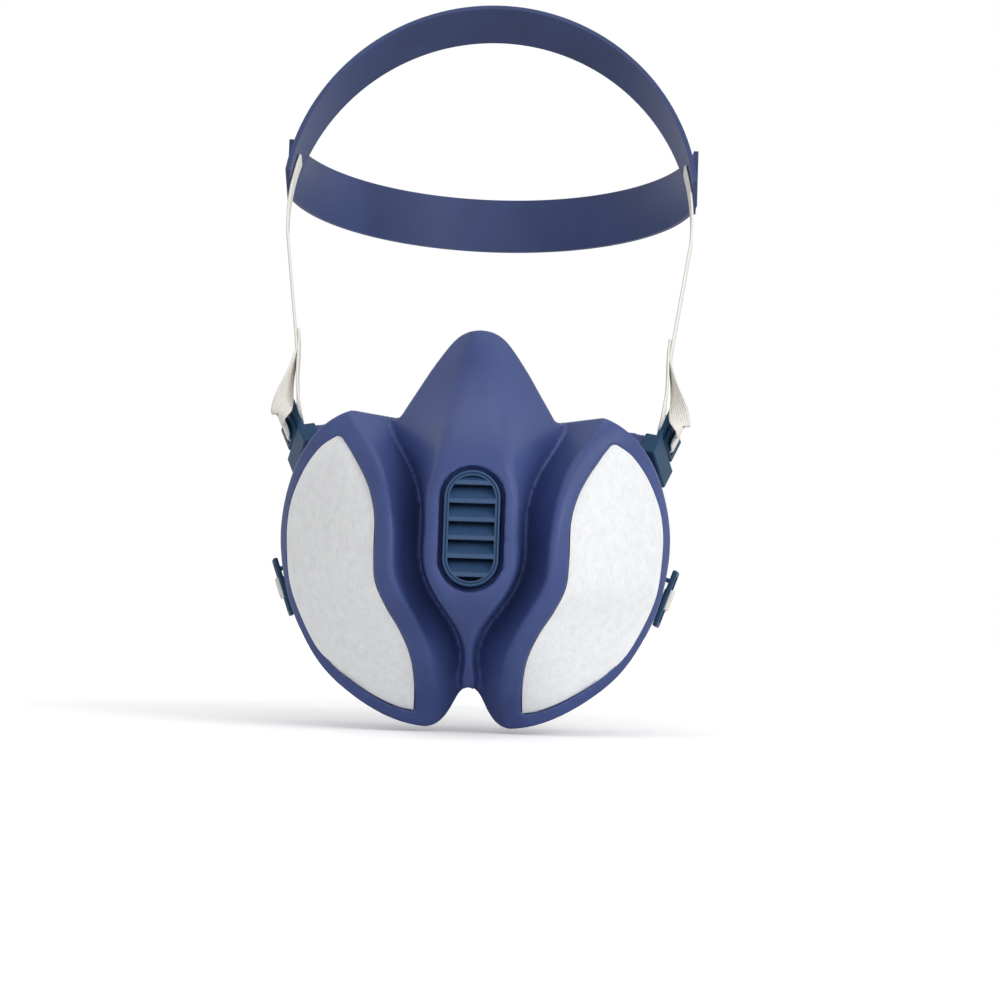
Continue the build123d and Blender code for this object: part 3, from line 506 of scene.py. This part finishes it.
# --- Facepiece ---
@dataclass
class Facepiece:
    """The moulded shell with its two filter pods."""

    weld_mm: float = 0.01
    voxel_mm: float = 0.85
    ease_rounds: int = 10
    ease_steps: tuple[float, float] = (0.5, -0.52)
    most_triangles: int = 190_000

    def shell(self) -> bpy.types.Object:
        """Make the shell's skin: the frame's solid, with every edge eased as a mould leaves it.

        The solid is cut into small cubes and wrapped again, and then each point moves half way to
        the mean of its neighbours, round after round, with a step back after each that keeps the
        walls as thick as they were. Last, the shortest edges are drawn together until the skin is
        within its number of triangles.

        Returns:
            The shell.
        """
        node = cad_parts["facepiece"]
        mesh = node.data.copy()
        rough = put("shell_stock", mesh)
        weld = rough.modifiers.new("weld", "WELD")
        weld.merge_threshold = self.weld_mm * MM
        wrap = rough.modifiers.new("wrap", "REMESH")
        wrap.mode, wrap.voxel_size = "VOXEL", self.voxel_mm * MM
        done = rough.evaluated_get(bpy.context.evaluated_depsgraph_get())
        wrapped = bpy.data.meshes.new_from_object(done)
        points = np.empty(len(wrapped.vertices) * 3)
        wrapped.vertices.foreach_get("co", points)
        edges = np.empty(len(wrapped.edges) * 2, int)
        wrapped.edges.foreach_get("vertices", edges)
        points, edges = points.reshape(-1, 3), edges.reshape(-1, 2)
        for _ in range(self.ease_rounds):
            for step in self.ease_steps:
                points = points + step * self.pull(points, edges)
        wrapped.vertices.foreach_set("co", points.ravel())
        wrapped.polygons.foreach_set("use_smooth", np.ones(len(wrapped.polygons), bool))
        rough.modifiers.clear()
        rough.data = wrapped
        wrapped.calc_loop_triangles()
        slim = rough.modifiers.new("slim", "DECIMATE")
        slim.ratio = min(1.0, self.most_triangles / len(wrapped.loop_triangles))
        done = rough.evaluated_get(bpy.context.evaluated_depsgraph_get())
        wrapped = bpy.data.meshes.new_from_object(done)
        bpy.data.objects.remove(rough)
        wrapped.materials.clear()
        wrapped.materials.append(SHELL_ELASTOMER.material())
        piece = put("facepiece_shell", wrapped)
        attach(piece, "mask")
        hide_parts("facepiece")
        LOG.info("facepiece_shell: %d faces on mask", len(wrapped.polygons))
        return piece

    @staticmethod
    def pull(points: np.ndarray, edges: np.ndarray) -> np.ndarray:
        """How far each point lies from the mean of its neighbours.

        Args:
            points: Rows of coordinates.
            edges: Pairs of point numbers.

        Returns:
            The mean of the neighbours, less the point.
        """
        count = np.bincount(edges.ravel(), minlength=len(points))[:, None]
        total = np.stack([
            np.bincount(edges[:, 0], points[edges[:, 1], n], len(points))
            + np.bincount(edges[:, 1], points[edges[:, 0], n], len(points)) for n in range(3)
        ], axis=1)
        return total / np.maximum(count, 1) - points


# --- Filter pads ---
@dataclass
class FilterPads:
    """The white crowned prefilter in each pod's window."""

    crest_half: Guide = ((-80, 12), (-54, 13), (-43, 15.7), (-32, 20.8), (-20, 27.6), (-4, 29), (15, 32),
                         (28, 38.2), (42, 46.4), (58, 56))
    crest_depth: Guide = ((-80, -48), (-60, -66), (-40, -80), (-18, -86), (0, -83.5), (15, -76), (28, -66),
                          (42, -52), (58, -36))
    edge_half: Guide = ((-80, 46), (-60, 62), (-30, 77), (0, 81), (28, 78), (58, 74))
    edge_depth: Guide = ((-80, -48), (-60, -35), (-30, -17), (0, -13), (28, -19), (58, -23))
    inner: Guide = ((50.3, 32.7), (45.6, 26.8), (40.9, 19.5), (37.5, 12.2), (35.4, 3), (35.2, -10),
                    (34.3, -20.3), (30.3, -29.2), (25.1, -37.6), (21.2, -46.5), (19.6, -56), (19.6, -67.6))
    outer: Guide = ((19.6, -67.6), (26.2, -66.3), (36.6, -61.6), (47.1, -54.9), (56.1, -46), (62.9, -34.5),
                    (67.6, -21.9), (69.2, -6), (68.6, 4), (66.5, 11.8), (62.3, 20.5), (56.6, 27.9),
                    (50.3, 32.7))
    crown_mm: float = 7.0
    sink_mm: float = 1.6
    puff_mm: float = 0.9
    thickness_mm: float = 4.4
    edge_gap_mm: float = 0.2
    steep_from_mm: float = 44.0
    steep_by_mm: float = 57.0
    lap_mm: float = 0.9
    proud_mm: float = 1.9
    spine_mm: tuple[float, float] = (-54.0, 20.0)
    widest: int = 7
    edge_share: float = 0.008
    crowding: float = 1.6
    around: int = 400
    rings: int = 34
    arc_steps: int = 18

    def front(self, x: np.ndarray, z: np.ndarray, sink: np.ndarray) -> np.ndarray:
        """The depth of the pod's crowned front, sunk by an amount.

        At a height the front is a circle's arc over the chord from the crest to the outer edge,
        raised in its middle by the crown. The place u along the chord at which the arc stands
        over x is found by steps: u is (x - start) / run, less what the arc's rise adds.

        Args:
            x: Half widths.
            z: Heights.
            sink: How far below the front, square to the chord.

        Returns:
            The depths y.
        """
        cx, cy = along(self.crest_half, z), along(self.crest_depth, z)
        ex, ey = along(self.edge_half, z), along(self.edge_depth, z)
        chord = np.hypot(ex - cx, ey - cy)
        rx, ry = (ex - cx) / chord, (ey - cy) / chord
        radius = (chord**2 / 4 + self.crown_mm**2) / (2 * self.crown_mm)
        u = (x - cx) / rx
        for _ in range(self.arc_steps):
            lift = sink - self.crown_mm + radius - np.sqrt(np.maximum(radius**2 - (u - chord / 2) ** 2, 0))
            u = (x - cx + ry * lift) / rx
        return cy + ry * u + rx * lift

    def rim(self) -> np.ndarray:
        """The pad's outline: the window's two sides as even lines, moved in by the edge gap.

        Where the front is steep the outline laps over the window's edge instead.
        """
        inner, outer = eased(np.array(self.inner), 120), eased(np.array(self.outer), 160)
        loop = self.evened(np.vstack([inner, outer[1:-1]]))
        ahead = unit(np.roll(loop, -1, axis=0) - np.roll(loop, 1, axis=0))
        inward = np.stack([-ahead[:, 1], ahead[:, 0]], axis=1)
        return loop + inward * (self.edge_gap_mm - self.lap_mm * self.steep(loop))[:, None]

    def steep(self, loop: np.ndarray) -> np.ndarray:
        """How steep the front is at each point of a line: none at 0, and as steep as it gets at 1."""
        return np.interp(loop[:, 0], (self.steep_from_mm, self.steep_by_mm), (0.0, 1.0))

    def evened(self, loop: np.ndarray) -> np.ndarray:
        """Read a closed line again at equal lengths."""
        closed = np.vstack([loop, loop[:1]])
        length = np.concatenate([[0], np.cumsum(np.linalg.norm(np.diff(closed, axis=0), axis=1))])
        stops = np.linspace(0, length[-1], self.around + 1)[:-1]
        return np.stack([np.interp(stops, length, closed[:, n]) for n in range(2)], axis=1)

    def pad(self, side: Side) -> bpy.types.Object:
        """Make one pad.

        The outline shrinks ring by ring to a spine down the bean's middle: a point is the spine's
        plus s times its way to the outline. The front is raised by puff times 1 - s ** 4, the
        side is a half circle, and the back repeats the rings at the pad's thickness. Where the
        front is steep the edge is lifted by proud times s ** 4, to stand over the window's edge.

        Args:
            side: Which pod.

        Returns:
            The pad.
        """
        rim = self.rim()
        stop = np.clip(rim[:, 1], *self.spine_mm)
        inner, outer = np.array(self.inner)[::-1], np.array(self.outer)
        lower, upper = outer[:self.widest + 1], outer[self.widest:]
        left = np.interp(stop, inner[:, 1], inner[:, 0])
        right = np.where(stop > outer[self.widest, 1], np.interp(stop, upper[:, 1], upper[:, 0]),
                         np.interp(stop, lower[:, 1], lower[:, 0]))
        spine = np.stack([(left + right) / 2, stop], axis=1)
        share = 1 - (1 - np.linspace(0, 1, self.rings)) ** self.crowding
        roll = np.linspace(0, np.pi, 9)[1:-1]
        flank = 1 - self.edge_share
        s = np.concatenate([share * flank, flank + self.edge_share * np.sin(roll), share[::-1] * flank])
        depth = np.concatenate([
            self.sink_mm - self.puff_mm * (1 - share**4),
            self.sink_mm + self.thickness_mm * (1 - np.cos(roll)) / 2,
            np.full(self.rings, self.sink_mm + self.thickness_mm),
        ])
        flat = spine[None] + s[:, None, None] * (rim - spine)[None]
        x, z = flat[..., 0], flat[..., 1]
        lift = self.proud_mm * self.steep(rim) * s[:, None] ** 4
        y = self.front(x, z, depth[:, None] - lift)
        points = mirrored(np.stack([-x, y, z], axis=-1).reshape(-1, 3), side)
        faces = grid_faces(len(s), self.around, loop_columns=True).tolist()
        piece = new_piece(f"prefilter_pad_{side.tag}", points, faces, "mask", FILTER_FELT.material())
        close_up(piece)
        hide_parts(f"prefilter_{side.tag}")
        return piece


def close_up(piece: bpy.types.Object, open_ends: bool = False, near_mm: float = 0.02) -> None:
    """Merge a piece's doubled points and turn its faces outwards.

    Args:
        piece: The piece.
        open_ends: Whether it has open ends that get a face each.
        near_mm: Points this close are one point.
    """
    work = bmesh.new()
    work.from_mesh(piece.data)
    bmesh.ops.remove_doubles(work, verts=work.verts, dist=near_mm * MM)
    if open_ends:
        bmesh.ops.holes_fill(work, edges=[edge for edge in work.edges if edge.is_boundary], sides=0)
    bmesh.ops.recalc_face_normals(work, faces=work.faces)
    work.to_mesh(piece.data)
    work.free()


# --- Valve cover ---
@dataclass
class ValveCover:
    """The exhalation valve's cover: a lipped round-ended ring with louvres that rise inwards."""

    place: Place = Place((0.0, -88.4, 0.0), (1, 0, 0), (0, -0.99396, 0.10973))
    width_mm: float = 20.3
    length_mm: float = 42.0
    wall_mm: float = 1.9
    lowest_blade_mm: float = -24.25
    blades: int = 7
    pitch_mm: float = 6.65
    blade_end_mm: float = 0.25
    tip_mm: float = 0.02
    ring_profile: Guide = (
        (0.0, -7.2), (0.0, -3.0), (0.0, 1.3), (0.05, 1.7), (0.2, 2.0), (0.4, 2.15), (0.6, 2.15), (0.75, 2.0),
        (0.85, 1.6), (0.95, 1.35), (1.1, 1.4), (1.2, 1.65), (1.35, 1.75), (1.75, 1.75), (1.87, 1.65),
        (1.9, 1.4), (1.9, -3.0), (1.9, -7.2),
    )
    blade_section: Guide = (
        (0.0, 1.55), (0.12, 1.68), (0.3, 1.7), (0.9, 1.7), (1.45, 1.7), (1.62, 1.66), (1.72, 1.5), (3.4, 0.2),
        (5.0, -1.05), (6.6, -2.3), (6.5, -2.85), (5.6, -2.7), (3.6, -1.2), (1.8, 0.2), (0.3, 1.3),
    )
    around: int = 200
    across: int = 40

    def outline(self, inset: np.ndarray) -> np.ndarray:
        """Points of the round-ended outline, moved in by each inset.

        At angle a a point is the end's centre, above or below, plus (radius - inset) times
        (cos a, sin a).

        Args:
            inset: How far each line lies inside the outer edge.

        Returns:
            An array of lines, points and x, y.
        """
        a = 2 * np.pi * (np.arange(self.around) + 0.5) / self.around
        way = np.stack([np.cos(a), np.sin(a)], axis=1)
        rise = np.sign(np.sin(a)) * (self.length_mm - self.width_mm) / 2
        centre = np.stack([np.zeros_like(a), rise], axis=1)
        return centre[None] + (self.width_mm / 2 - inset)[:, None, None] * way[None]

    def ring(self) -> tuple[np.ndarray, np.ndarray]:
        """The ring: a skirt, a rounded outer lip, a fine groove and a flat inner rim, all round.

        Returns:
            The points and the faces.
        """
        profile = np.array(self.ring_profile)
        flat = self.outline(profile[:, 0])
        high = np.broadcast_to(profile[:, 1][:, None, None], (*flat.shape[:2], 1))
        points = np.concatenate([flat, high], axis=-1).reshape(-1, 3)
        return points, grid_faces(len(profile), self.around, loop_rows=True, loop_columns=True)

    def blade(self, low: float) -> tuple[np.ndarray, np.ndarray]:
        """One louvre: a flat front band and a face that rises inwards from the band's top.

        A point of the section at height y is carried across from -h to h, where h is the ring's
        inner half width at y and a little more, so that the ends stand in the ring.

        Args:
            low: The height of the band's lower edge.

        Returns:
            The points and the faces.
        """
        section = np.array(self.blade_section)
        inner = self.width_mm / 2 - self.wall_mm + self.blade_end_mm
        straight = (self.length_mm - self.width_mm) / 2
        tip = straight + inner - self.tip_mm
        y = np.clip(low + section[:, 0], -tip, tip)
        half = np.sqrt(inner**2 - np.maximum(np.abs(y) - straight, 0) ** 2)
        x = half[:, None] * np.linspace(-1, 1, self.across)[None]
        points = np.stack(np.broadcast_arrays(x, y[:, None], section[:, 1][:, None]), axis=-1)
        return points.reshape(-1, 3), grid_faces(len(section), self.across, loop_rows=True)

    def cover(self) -> bpy.types.Object:
        """Make the cover from its ring and its louvres.

        Returns:
            The cover.
        """
        lows = [self.lowest_blade_mm + n * self.pitch_mm for n in range(self.blades)]
        shapes = [self.ring(), *map(self.blade, lows)]
        starts = np.cumsum([0] + [len(points) for points, _ in shapes[:-1]])
        points = self.place.to_world(np.vstack([shape for shape, _ in shapes]))
        faces = np.vstack([quads + start for (_, quads), start in zip(shapes, starts)]).tolist()
        piece = new_piece("exhale_cover_louvred", points, faces, "mask", COVER_PLASTIC.material())
        close_up(piece, open_ends=True)
        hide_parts("exhale_cover")
        return piece


# --- Face seal ---
@dataclass
class FaceSeal:
    """The soft lip behind the shell that follows the wearer's face."""

    outline: Guide = ((0, 68), (13.6, 61), (26, 43.6), (41, 24), (52, 0), (50, -24), (38, -46), (19, -57),
                      (0, -60))
    face_depth: Guide = ((-82, -44), (-64, -28), (-48, -14), (-30, -4), (-8, 0), (15, -2), (40, -13),
                         (60, -26), (82, -42))
    lip_mm: float = 13.0
    thickness_mm: float = 2.0
    bead_mm: float = 1.5
    bead_flatness: float = 0.8
    edge_mm: float = 0.9
    strip_start_mm: float = 1.6
    strip_end_mm: float = 10.7
    around: int = 300

    def lip(self) -> bpy.types.Object:
        """Make the lip.

        Round the opening the outline is an even closed line, and across the lip a point moves in
        by v. The section is a flat strip whose inner edge is a round bead, and the depth is the
        face curve's at the point's own height, plus the section's.

        Returns:
            The lip.
        """
        right = np.array(self.outline, float)
        whole = np.vstack([right, right[-2:0:-1] * [-1, 1]])
        loop = eased(whole, self.around, closed=True)
        ahead = unit(np.roll(loop, -1, axis=0) - np.roll(loop, 1, axis=0))
        inward = np.stack([ahead[:, 1], -ahead[:, 0]], axis=1)
        turn = np.linspace(-0.5 * np.pi, 0.5 * np.pi, 9)
        bead = np.stack([self.lip_mm - self.bead_mm + self.bead_mm * np.cos(turn),
                         -self.thickness_mm / 2 + self.bead_mm * np.sin(turn) * self.bead_flatness], axis=1)
        back = turn[::-1]
        edge = np.stack([self.edge_mm * (1 - np.cos(back)), self.thickness_mm / 2 * (np.sin(back) - 1)], axis=1)
        strip = np.linspace(self.strip_start_mm, self.strip_end_mm, len(turn))
        section = np.vstack([bead, np.stack([strip[::-1], np.zeros_like(strip)], axis=1), edge,
                             np.stack([strip, np.full_like(strip, -self.thickness_mm)], axis=1)])
        flat = loop[None] + section[:, :1, None] * inward[None]
        y = along(self.face_depth, flat[..., 1]) + section[:, 1:2]
        points = np.stack([flat[..., 0], y, flat[..., 1]], axis=-1).reshape(-1, 3)
        faces = grid_faces(len(section), self.around, loop_rows=True, loop_columns=True).tolist()
        piece = new_piece("face_seal_lip", points, faces, "mask", SEAL_SILICONE.material())
        close_up(piece)
        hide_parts("face_seal")
        return piece


# --- Harness ---
@dataclass
class Webbing:
    """A flat elastic strap along a line, with soft rounded edges."""

    width_mm: float = 8.0
    thickness_mm: float = 1.2
    step_mm: float = 0.8
    around: int = 24
    width_power: float = 0.35
    thickness_power: float = 0.6
    width_weight: float = 20.0

    def strip(self, name: str, line: np.ndarray, across: np.ndarray, side: Side) -> bpy.types.Object:
        """Make a strap from its middle line and the direction of its width.

        The section is a flat oval: half width times cos of the angle to the width power, half
        thickness times sin to the thickness power. It is carried along the line, whose own
        direction and width set its thickness direction.

        Args:
            name: The piece's name.
            line: The middle line's points on the left side.
            across: The width's direction at each point.
            side: Which side to make.

        Returns:
            The strap.
        """
        length = np.concatenate([[0], np.cumsum(np.linalg.norm(np.diff(line, axis=0), axis=1))])
        count = int(length[-1] / self.step_mm) + 2
        both = np.hstack([line, unit(across) * self.width_weight])
        dense = eased(both, count)
        middle, wide = dense[:, :3], unit(dense[:, 3:])
        ahead = unit(np.gradient(middle, axis=0))
        thick = unit(np.cross(wide, ahead))
        wide = unit(np.cross(ahead, thick))
        turn = np.linspace(0, 2 * np.pi, self.around + 1)[:-1]
        c, s = np.cos(turn), np.sin(turn)
        u = np.sign(c) * np.abs(c) ** self.width_power * self.width_mm / 2
        w = np.sign(s) * np.abs(s) ** self.thickness_power * self.thickness_mm / 2
        skin = middle[:, None] + u[None, :, None] * wide[:, None] + w[None, :, None] * thick[:, None]
        points = mirrored(np.vstack([skin.reshape(-1, 3), middle[[0, -1]]]), side)
        faces = grid_faces(count, self.around, loop_columns=True).tolist()
        ring, total = np.arange(self.around), count * self.around
        after, far = np.roll(ring, -1), total - self.around
        faces += np.stack([ring, after, np.full_like(ring, total)], axis=1).tolist()
        faces += np.stack([after + far, ring + far, np.full_like(ring, total + 1)], axis=1).tolist()
        piece = new_piece(name, points, faces, None, STRAP_ELASTIC.material())
        mesh = piece.data
        run = np.linspace(0, length[-1], count)
        reach = np.vstack([np.stack(np.broadcast_arrays(u[None, :], run[:, None]), axis=-1).reshape(-1, 2),
                           [[0, 0], [0, run[-1]]]]) * MM
        corners = np.empty(len(mesh.loops), int)
        mesh.loops.foreach_get("vertex_index", corners)
        mesh.uv_layers.new(name="weave").data.foreach_set("uv", reach[corners].ravel())
        close_up(piece)
        return piece


@dataclass
class Harness:
    """The head and neck straps on both sides."""

    webbing: Webbing = field(default_factory=Webbing)
    block: Place = Place((-68.9, -14.0, 36.8), (0.366, -0.523, -0.770), (0.220, -0.756, 0.618))
    loop: Place = Place((-75.1, -23.1, -13.7), (0.33, -0.05, -0.943), (0.93, 0.15, 0.318))
    crown: Place = field(default_factory=lambda: level_place((0, 0, 60), 58))
    nape: Place = field(default_factory=lambda: level_place((0, -9, -24), -10))
    head_half_mm: float = 78.5
    crown_spring_mm: float = 70.0
    crown_reach_mm: float = 165.0
    crown_foot_mm: float = 70.8
    neck_half_mm: float = 62.0
    neck_spring_mm: float = 62.0
    nape_reach_mm: float = 130.0
    neck_foot_mm: float = 72.0
    clasp_bar_mm: float = 15.6
    buckle_bar_mm: tuple[float, float, float] = (-5.55, 1.8, -10.3)
    buckle_bend_mm: tuple[float, float] = (2.7, 2.3)
    back_ply: tuple[tuple[float, float, float], ...] = (
        (-69.0, -18.5, -0.4), (-69.8, -11, 0), (-70.25, -3, 0), (-70.3, 3, 0), (-70.42, 9, 0), (-70.9, 14, 0),
    )
    loop_bar_mm: tuple[float, float] = (11.15, 7.05)
    loop_bend_mm: float = 1.7

    @staticmethod
    def arc(half: float, spring: float, reach: float, start: float, end: float, count: int) -> np.ndarray:
        """Points of an ellipse: (half cos a, spring + (reach - spring) sin a), for a in degrees."""
        a = np.radians(np.linspace(start, end, count))
        return np.stack([half * np.cos(a), spring + (reach - spring) * np.sin(a), np.zeros(count)], axis=1)

    def head_strap(self, side: Side) -> bpy.types.Object:
        """Make a head strap: down from the crown, round the buckle's middle bar and up again.

        Args:
            side: Which side.

        Returns:
            The strap.
        """
        run = self.arc(self.head_half_mm, self.crown_spring_mm, self.crown_reach_mm, 164, 188.4, 7)
        foot = np.array([[-self.crown_foot_mm - 0.7, 9, 0], [-self.crown_foot_mm - 0.75, 2.5, 0]])
        main = self.crown.to_world(np.vstack([run, foot]))
        main_wide = np.tile(self.crown.turned(np.array([[0, 0, 1.0]])), (len(main), 1))
        x, bar_y, bar_z = self.buckle_bar_mm
        wide, high = self.buckle_bend_mm
        outer = np.array([[x - 1.2, -4.6, 0.2], [x - 1.0, -3.9, -3.0], [x, -1.6, -7.0], [x, -0.9, bar_z]])
        turn = np.radians([215, 270, 325])
        bend = np.stack([np.full(3, x), bar_y + wide * np.cos(turn), bar_z + high * np.sin(turn)], axis=1)
        inner = np.array([[x, 4.5, bar_z], [x, 4.5, -6.5]])
        legs = self.block.to_world(np.vstack([outer, bend, inner]))
        legs_wide = np.tile(self.block.turned(np.array([[-1.0, 0, 0]])), (len(legs), 1))
        # Behind the guide rod the inner ply swings in its own plane, and ends flat on the main run.
        back = self.crown.to_world(np.array(self.back_ply))
        swing = self.crown.turned(np.array([[-0.15, 0.5, -0.85], [0, 0.2, -0.98]]))
        back_wide = np.vstack([swing, np.tile(-main_wide[:1], (4, 1))])
        line = np.vstack([main, legs, back])
        across = np.vstack([main_wide, legs_wide, back_wide])
        piece = self.webbing.strip(f"head_strap_web_{side.tag}", line, across, side)
        # The points where the plies pass from the mask to the guide rod and on to the buckle's bar are worked
        # out here, but nothing uses them.
        ends = mirrored(self.block.to_world(np.array([[x, 0, -2.0], [x, 0, -8.0]])), side) * MM
        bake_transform(piece)
        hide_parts(f"head_strap_{side.tag}")
        return piece

    def neck_strap(self, side: Side) -> bpy.types.Object:
        """Make a neck strap: round the loop's rear bar, along the neck and through the clasp.

        Args:
            side: Which side.

        Returns:
            The strap.
        """
        x, rear = self.loop_bar_mm
        turn = np.radians([115, 150, 180, 210, 245])
        bend = np.stack([np.full(5, x), rear + self.loop_bend_mm * np.cos(turn),
                         -self.loop_bend_mm * np.sin(turn)], axis=1)
        start = np.array([[x, rear + 7.4, 0.72], [x, rear + 4.8, 0.4], [x, rear + 2.6, -0.7]])
        leave = np.array([[x, rear + 2.6, 1.45], [x, rear + 7, 1.8]])
        front = self.loop.to_world(np.vstack([start, bend, leave]))
        front_wide = np.tile(self.loop.turned(np.array([[1.0, 0, 0]])), (len(front), 1))
        end = math.degrees(math.acos(-self.clasp_bar_mm / self.neck_half_mm))
        arc = self.arc(self.neck_half_mm, self.neck_spring_mm, self.nape_reach_mm, 169, end, 14)
        run = np.vstack([[[-self.neck_foot_mm, 14, 0], [-self.neck_foot_mm + 3.2, 32, 0]], arc])
        back = self.nape.to_world(run)
        back_wide = np.tile(self.nape.turned(np.array([[0, 0, -1.0]])), (len(back), 1))
        line, across = np.vstack([front, back]), np.vstack([front_wide, back_wide])
        piece = self.webbing.strip(f"neck_strap_web_{side.tag}", line, across, side)
        if side is Side.LEFT:
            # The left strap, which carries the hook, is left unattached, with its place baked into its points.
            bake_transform(piece)
        else:
            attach(piece, "mask")
        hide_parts(f"neck_strap_{side.tag}")
        return piece


# --- Studio ---
@dataclass(frozen=True)
class SoftBox:
    """A square soft lamp: its name, its place and side in metres, and its power in watts."""

    name: str
    place: tuple[float, float, float]
    size: float
    watts: float


@dataclass
class Studio:
    """The camera, the soft lamps, the pale floor and the white surroundings."""

    distance_mm: float = 1600.0
    view_width_mm: float = 380.2
    azimuth: float = 1.2
    elevation: float = 0.0
    roll: float = 1.8
    aim_mm: tuple[float, float, float] = (8.1, 0.0, 10.6)
    lamps: tuple[SoftBox, ...] = (
        SoftBox("key", (1.3, -1.0, 0.9), 0.9, 12.0), SoftBox("fill", (-1.3, -0.9, 0.6), 1.0, 0.6),
        SoftBox("top", (0.1, 0.1, 1.5), 1.0, 3.0), SoftBox("front", (0.1, -1.9, 0.4), 1.2, 4.5),
    )
    world_strength: float = 0.5
    floor_drop_mm: float = 2.0
    floor_radius: float = 1.1
    floor_corners: int = 96
    glow_from: float = 0.12
    least_glow: float = 0.3

    def camera(self) -> None:
        """Place the long-lens camera in front of the mask, a little turned and rolled."""
        data = bpy.data.cameras.new("camera")
        data.lens = 36 * self.distance_mm / self.view_width_mm
        data.clip_start, data.clip_end = 0.1, 20
        camera = put("camera", data)
        a, e = math.radians(self.azimuth), math.radians(self.elevation)
        back = np.array([math.sin(a) * math.cos(e), -math.cos(a) * math.cos(e), math.sin(e)])
        camera.location = (np.array(self.aim_mm) + back * self.distance_mm) * MM
        camera.rotation_mode = "XYZ"
        camera.rotation_euler = (math.pi / 2 - e, 0, a)
        camera.rotation_euler.rotate_axis("Z", math.radians(self.roll))
        bpy.context.scene.camera = camera

    def light(self) -> None:
        """Add the soft boxes, each turned to face the mask's middle."""
        for box in self.lamps:
            data = bpy.data.lights.new(box.name, "AREA")
            data.shape, data.size, data.energy = "SQUARE", box.size, box.watts
            lamp = put(box.name, data)
            lamp.location = box.place
            x, y, z = np.array(box.place) - np.array([0, 0, 0.02])
            lamp.rotation_euler = (math.atan2(math.hypot(x, y), z), 0, math.atan2(x, -y))

    def surroundings(self, low: float) -> None:
        """Lay the floor under the mask and make the world white to the camera.

        Args:
            low: The mask's lowest height, in metres.
        """
        world = bpy.data.worlds.new("studio")
        bpy.context.scene.world = world
        world.use_nodes = True
        tree = world.node_tree
        tree.nodes.clear()
        path = add_node(tree, "LightPath")
        clear = path.outputs["Is Camera Ray"]
        for kind in ("Is Glossy Ray", "Is Transmission Ray"):
            most = add_node(tree, "Math", links={0: clear, 1: path.outputs[kind]}, operation="MAXIMUM")
            clear = most.outputs["Value"]
        dim = add_node(tree, "Background", {"Color": (1, 1, 1, 1), "Strength": self.world_strength})
        bright = add_node(tree, "Background", {"Color": (1, 1, 1, 1), "Strength": 1.0})
        mix = add_node(tree, "MixShader", links={0: clear, 1: dim.outputs[0], 2: bright.outputs[0]})
        add_node(tree, "OutputWorld", links={"Surface": mix.outputs[0]})
        a = np.linspace(0, 2 * np.pi, self.floor_corners + 1)[:-1]
        z = low - self.floor_drop_mm * MM
        disc = np.stack([self.floor_radius * np.cos(a), self.floor_radius * np.sin(a),
                         np.full_like(a, z)], axis=1)
        mesh = bpy.data.meshes.new("floor")
        mesh.from_pydata(disc.tolist(), [], [list(range(self.floor_corners))])
        floor = put("floor", mesh)
        paper = bpy.data.materials.new("floor_paper")
        paper.use_nodes = True
        tree = paper.node_tree
        shader = tree.nodes["Principled BSDF"]
        shader.inputs["Base Color"].default_value = linear("#f4f4f4")
        shader.inputs["Roughness"].default_value = 0.9
        # To the camera alone the paper glows a little, and more towards its rim, where it meets
        # the white world.
        path = add_node(tree, "LightPath")
        place = add_node(tree, "TexCoord").outputs["Object"]
        away = add_node(tree, "VectorMath", links={0: place}, operation="LENGTH")
        glow = add_node(tree, "MapRange", {"From Min": self.glow_from, "From Max": self.floor_radius,
                                           "To Min": self.least_glow, "To Max": 1.0},
                        {"Value": away.outputs["Value"]})
        seen = add_node(tree, "Math", links={0: glow.outputs["Result"], 1: path.outputs["Is Camera Ray"]},
                        operation="MULTIPLY")
        light = add_node(tree, "Emission", {"Color": (1, 1, 1, 1)}, {"Strength": seen.outputs["Value"]})
        both = add_node(tree, "AddShader", links={0: shader.outputs[0], 1: light.outputs[0]})
        tree.links.new(both.outputs[0], tree.nodes["Material Output"].inputs["Surface"])
        mesh.materials.append(paper)
        floor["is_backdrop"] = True


def main() -> None:
    """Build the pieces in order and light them."""
    logging.basicConfig(level=logging.INFO, format="%(name)s: %(message)s")
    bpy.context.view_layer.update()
    bpy.context.scene.view_settings.view_transform = "Standard"
    dress_nodes()
    Facepiece().shell()
    ValveCover().cover()
    FaceSeal().lip()
    pads, harness = FilterPads(), Harness()
    for side in Side:
        pads.pad(side)
        harness.head_strap(side)
        harness.neck_strap(side)
    studio = Studio()
    studio.camera()
    studio.light()
    low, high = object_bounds()
    studio.surroundings(low.z)


if __name__ == "__main__":
    main()
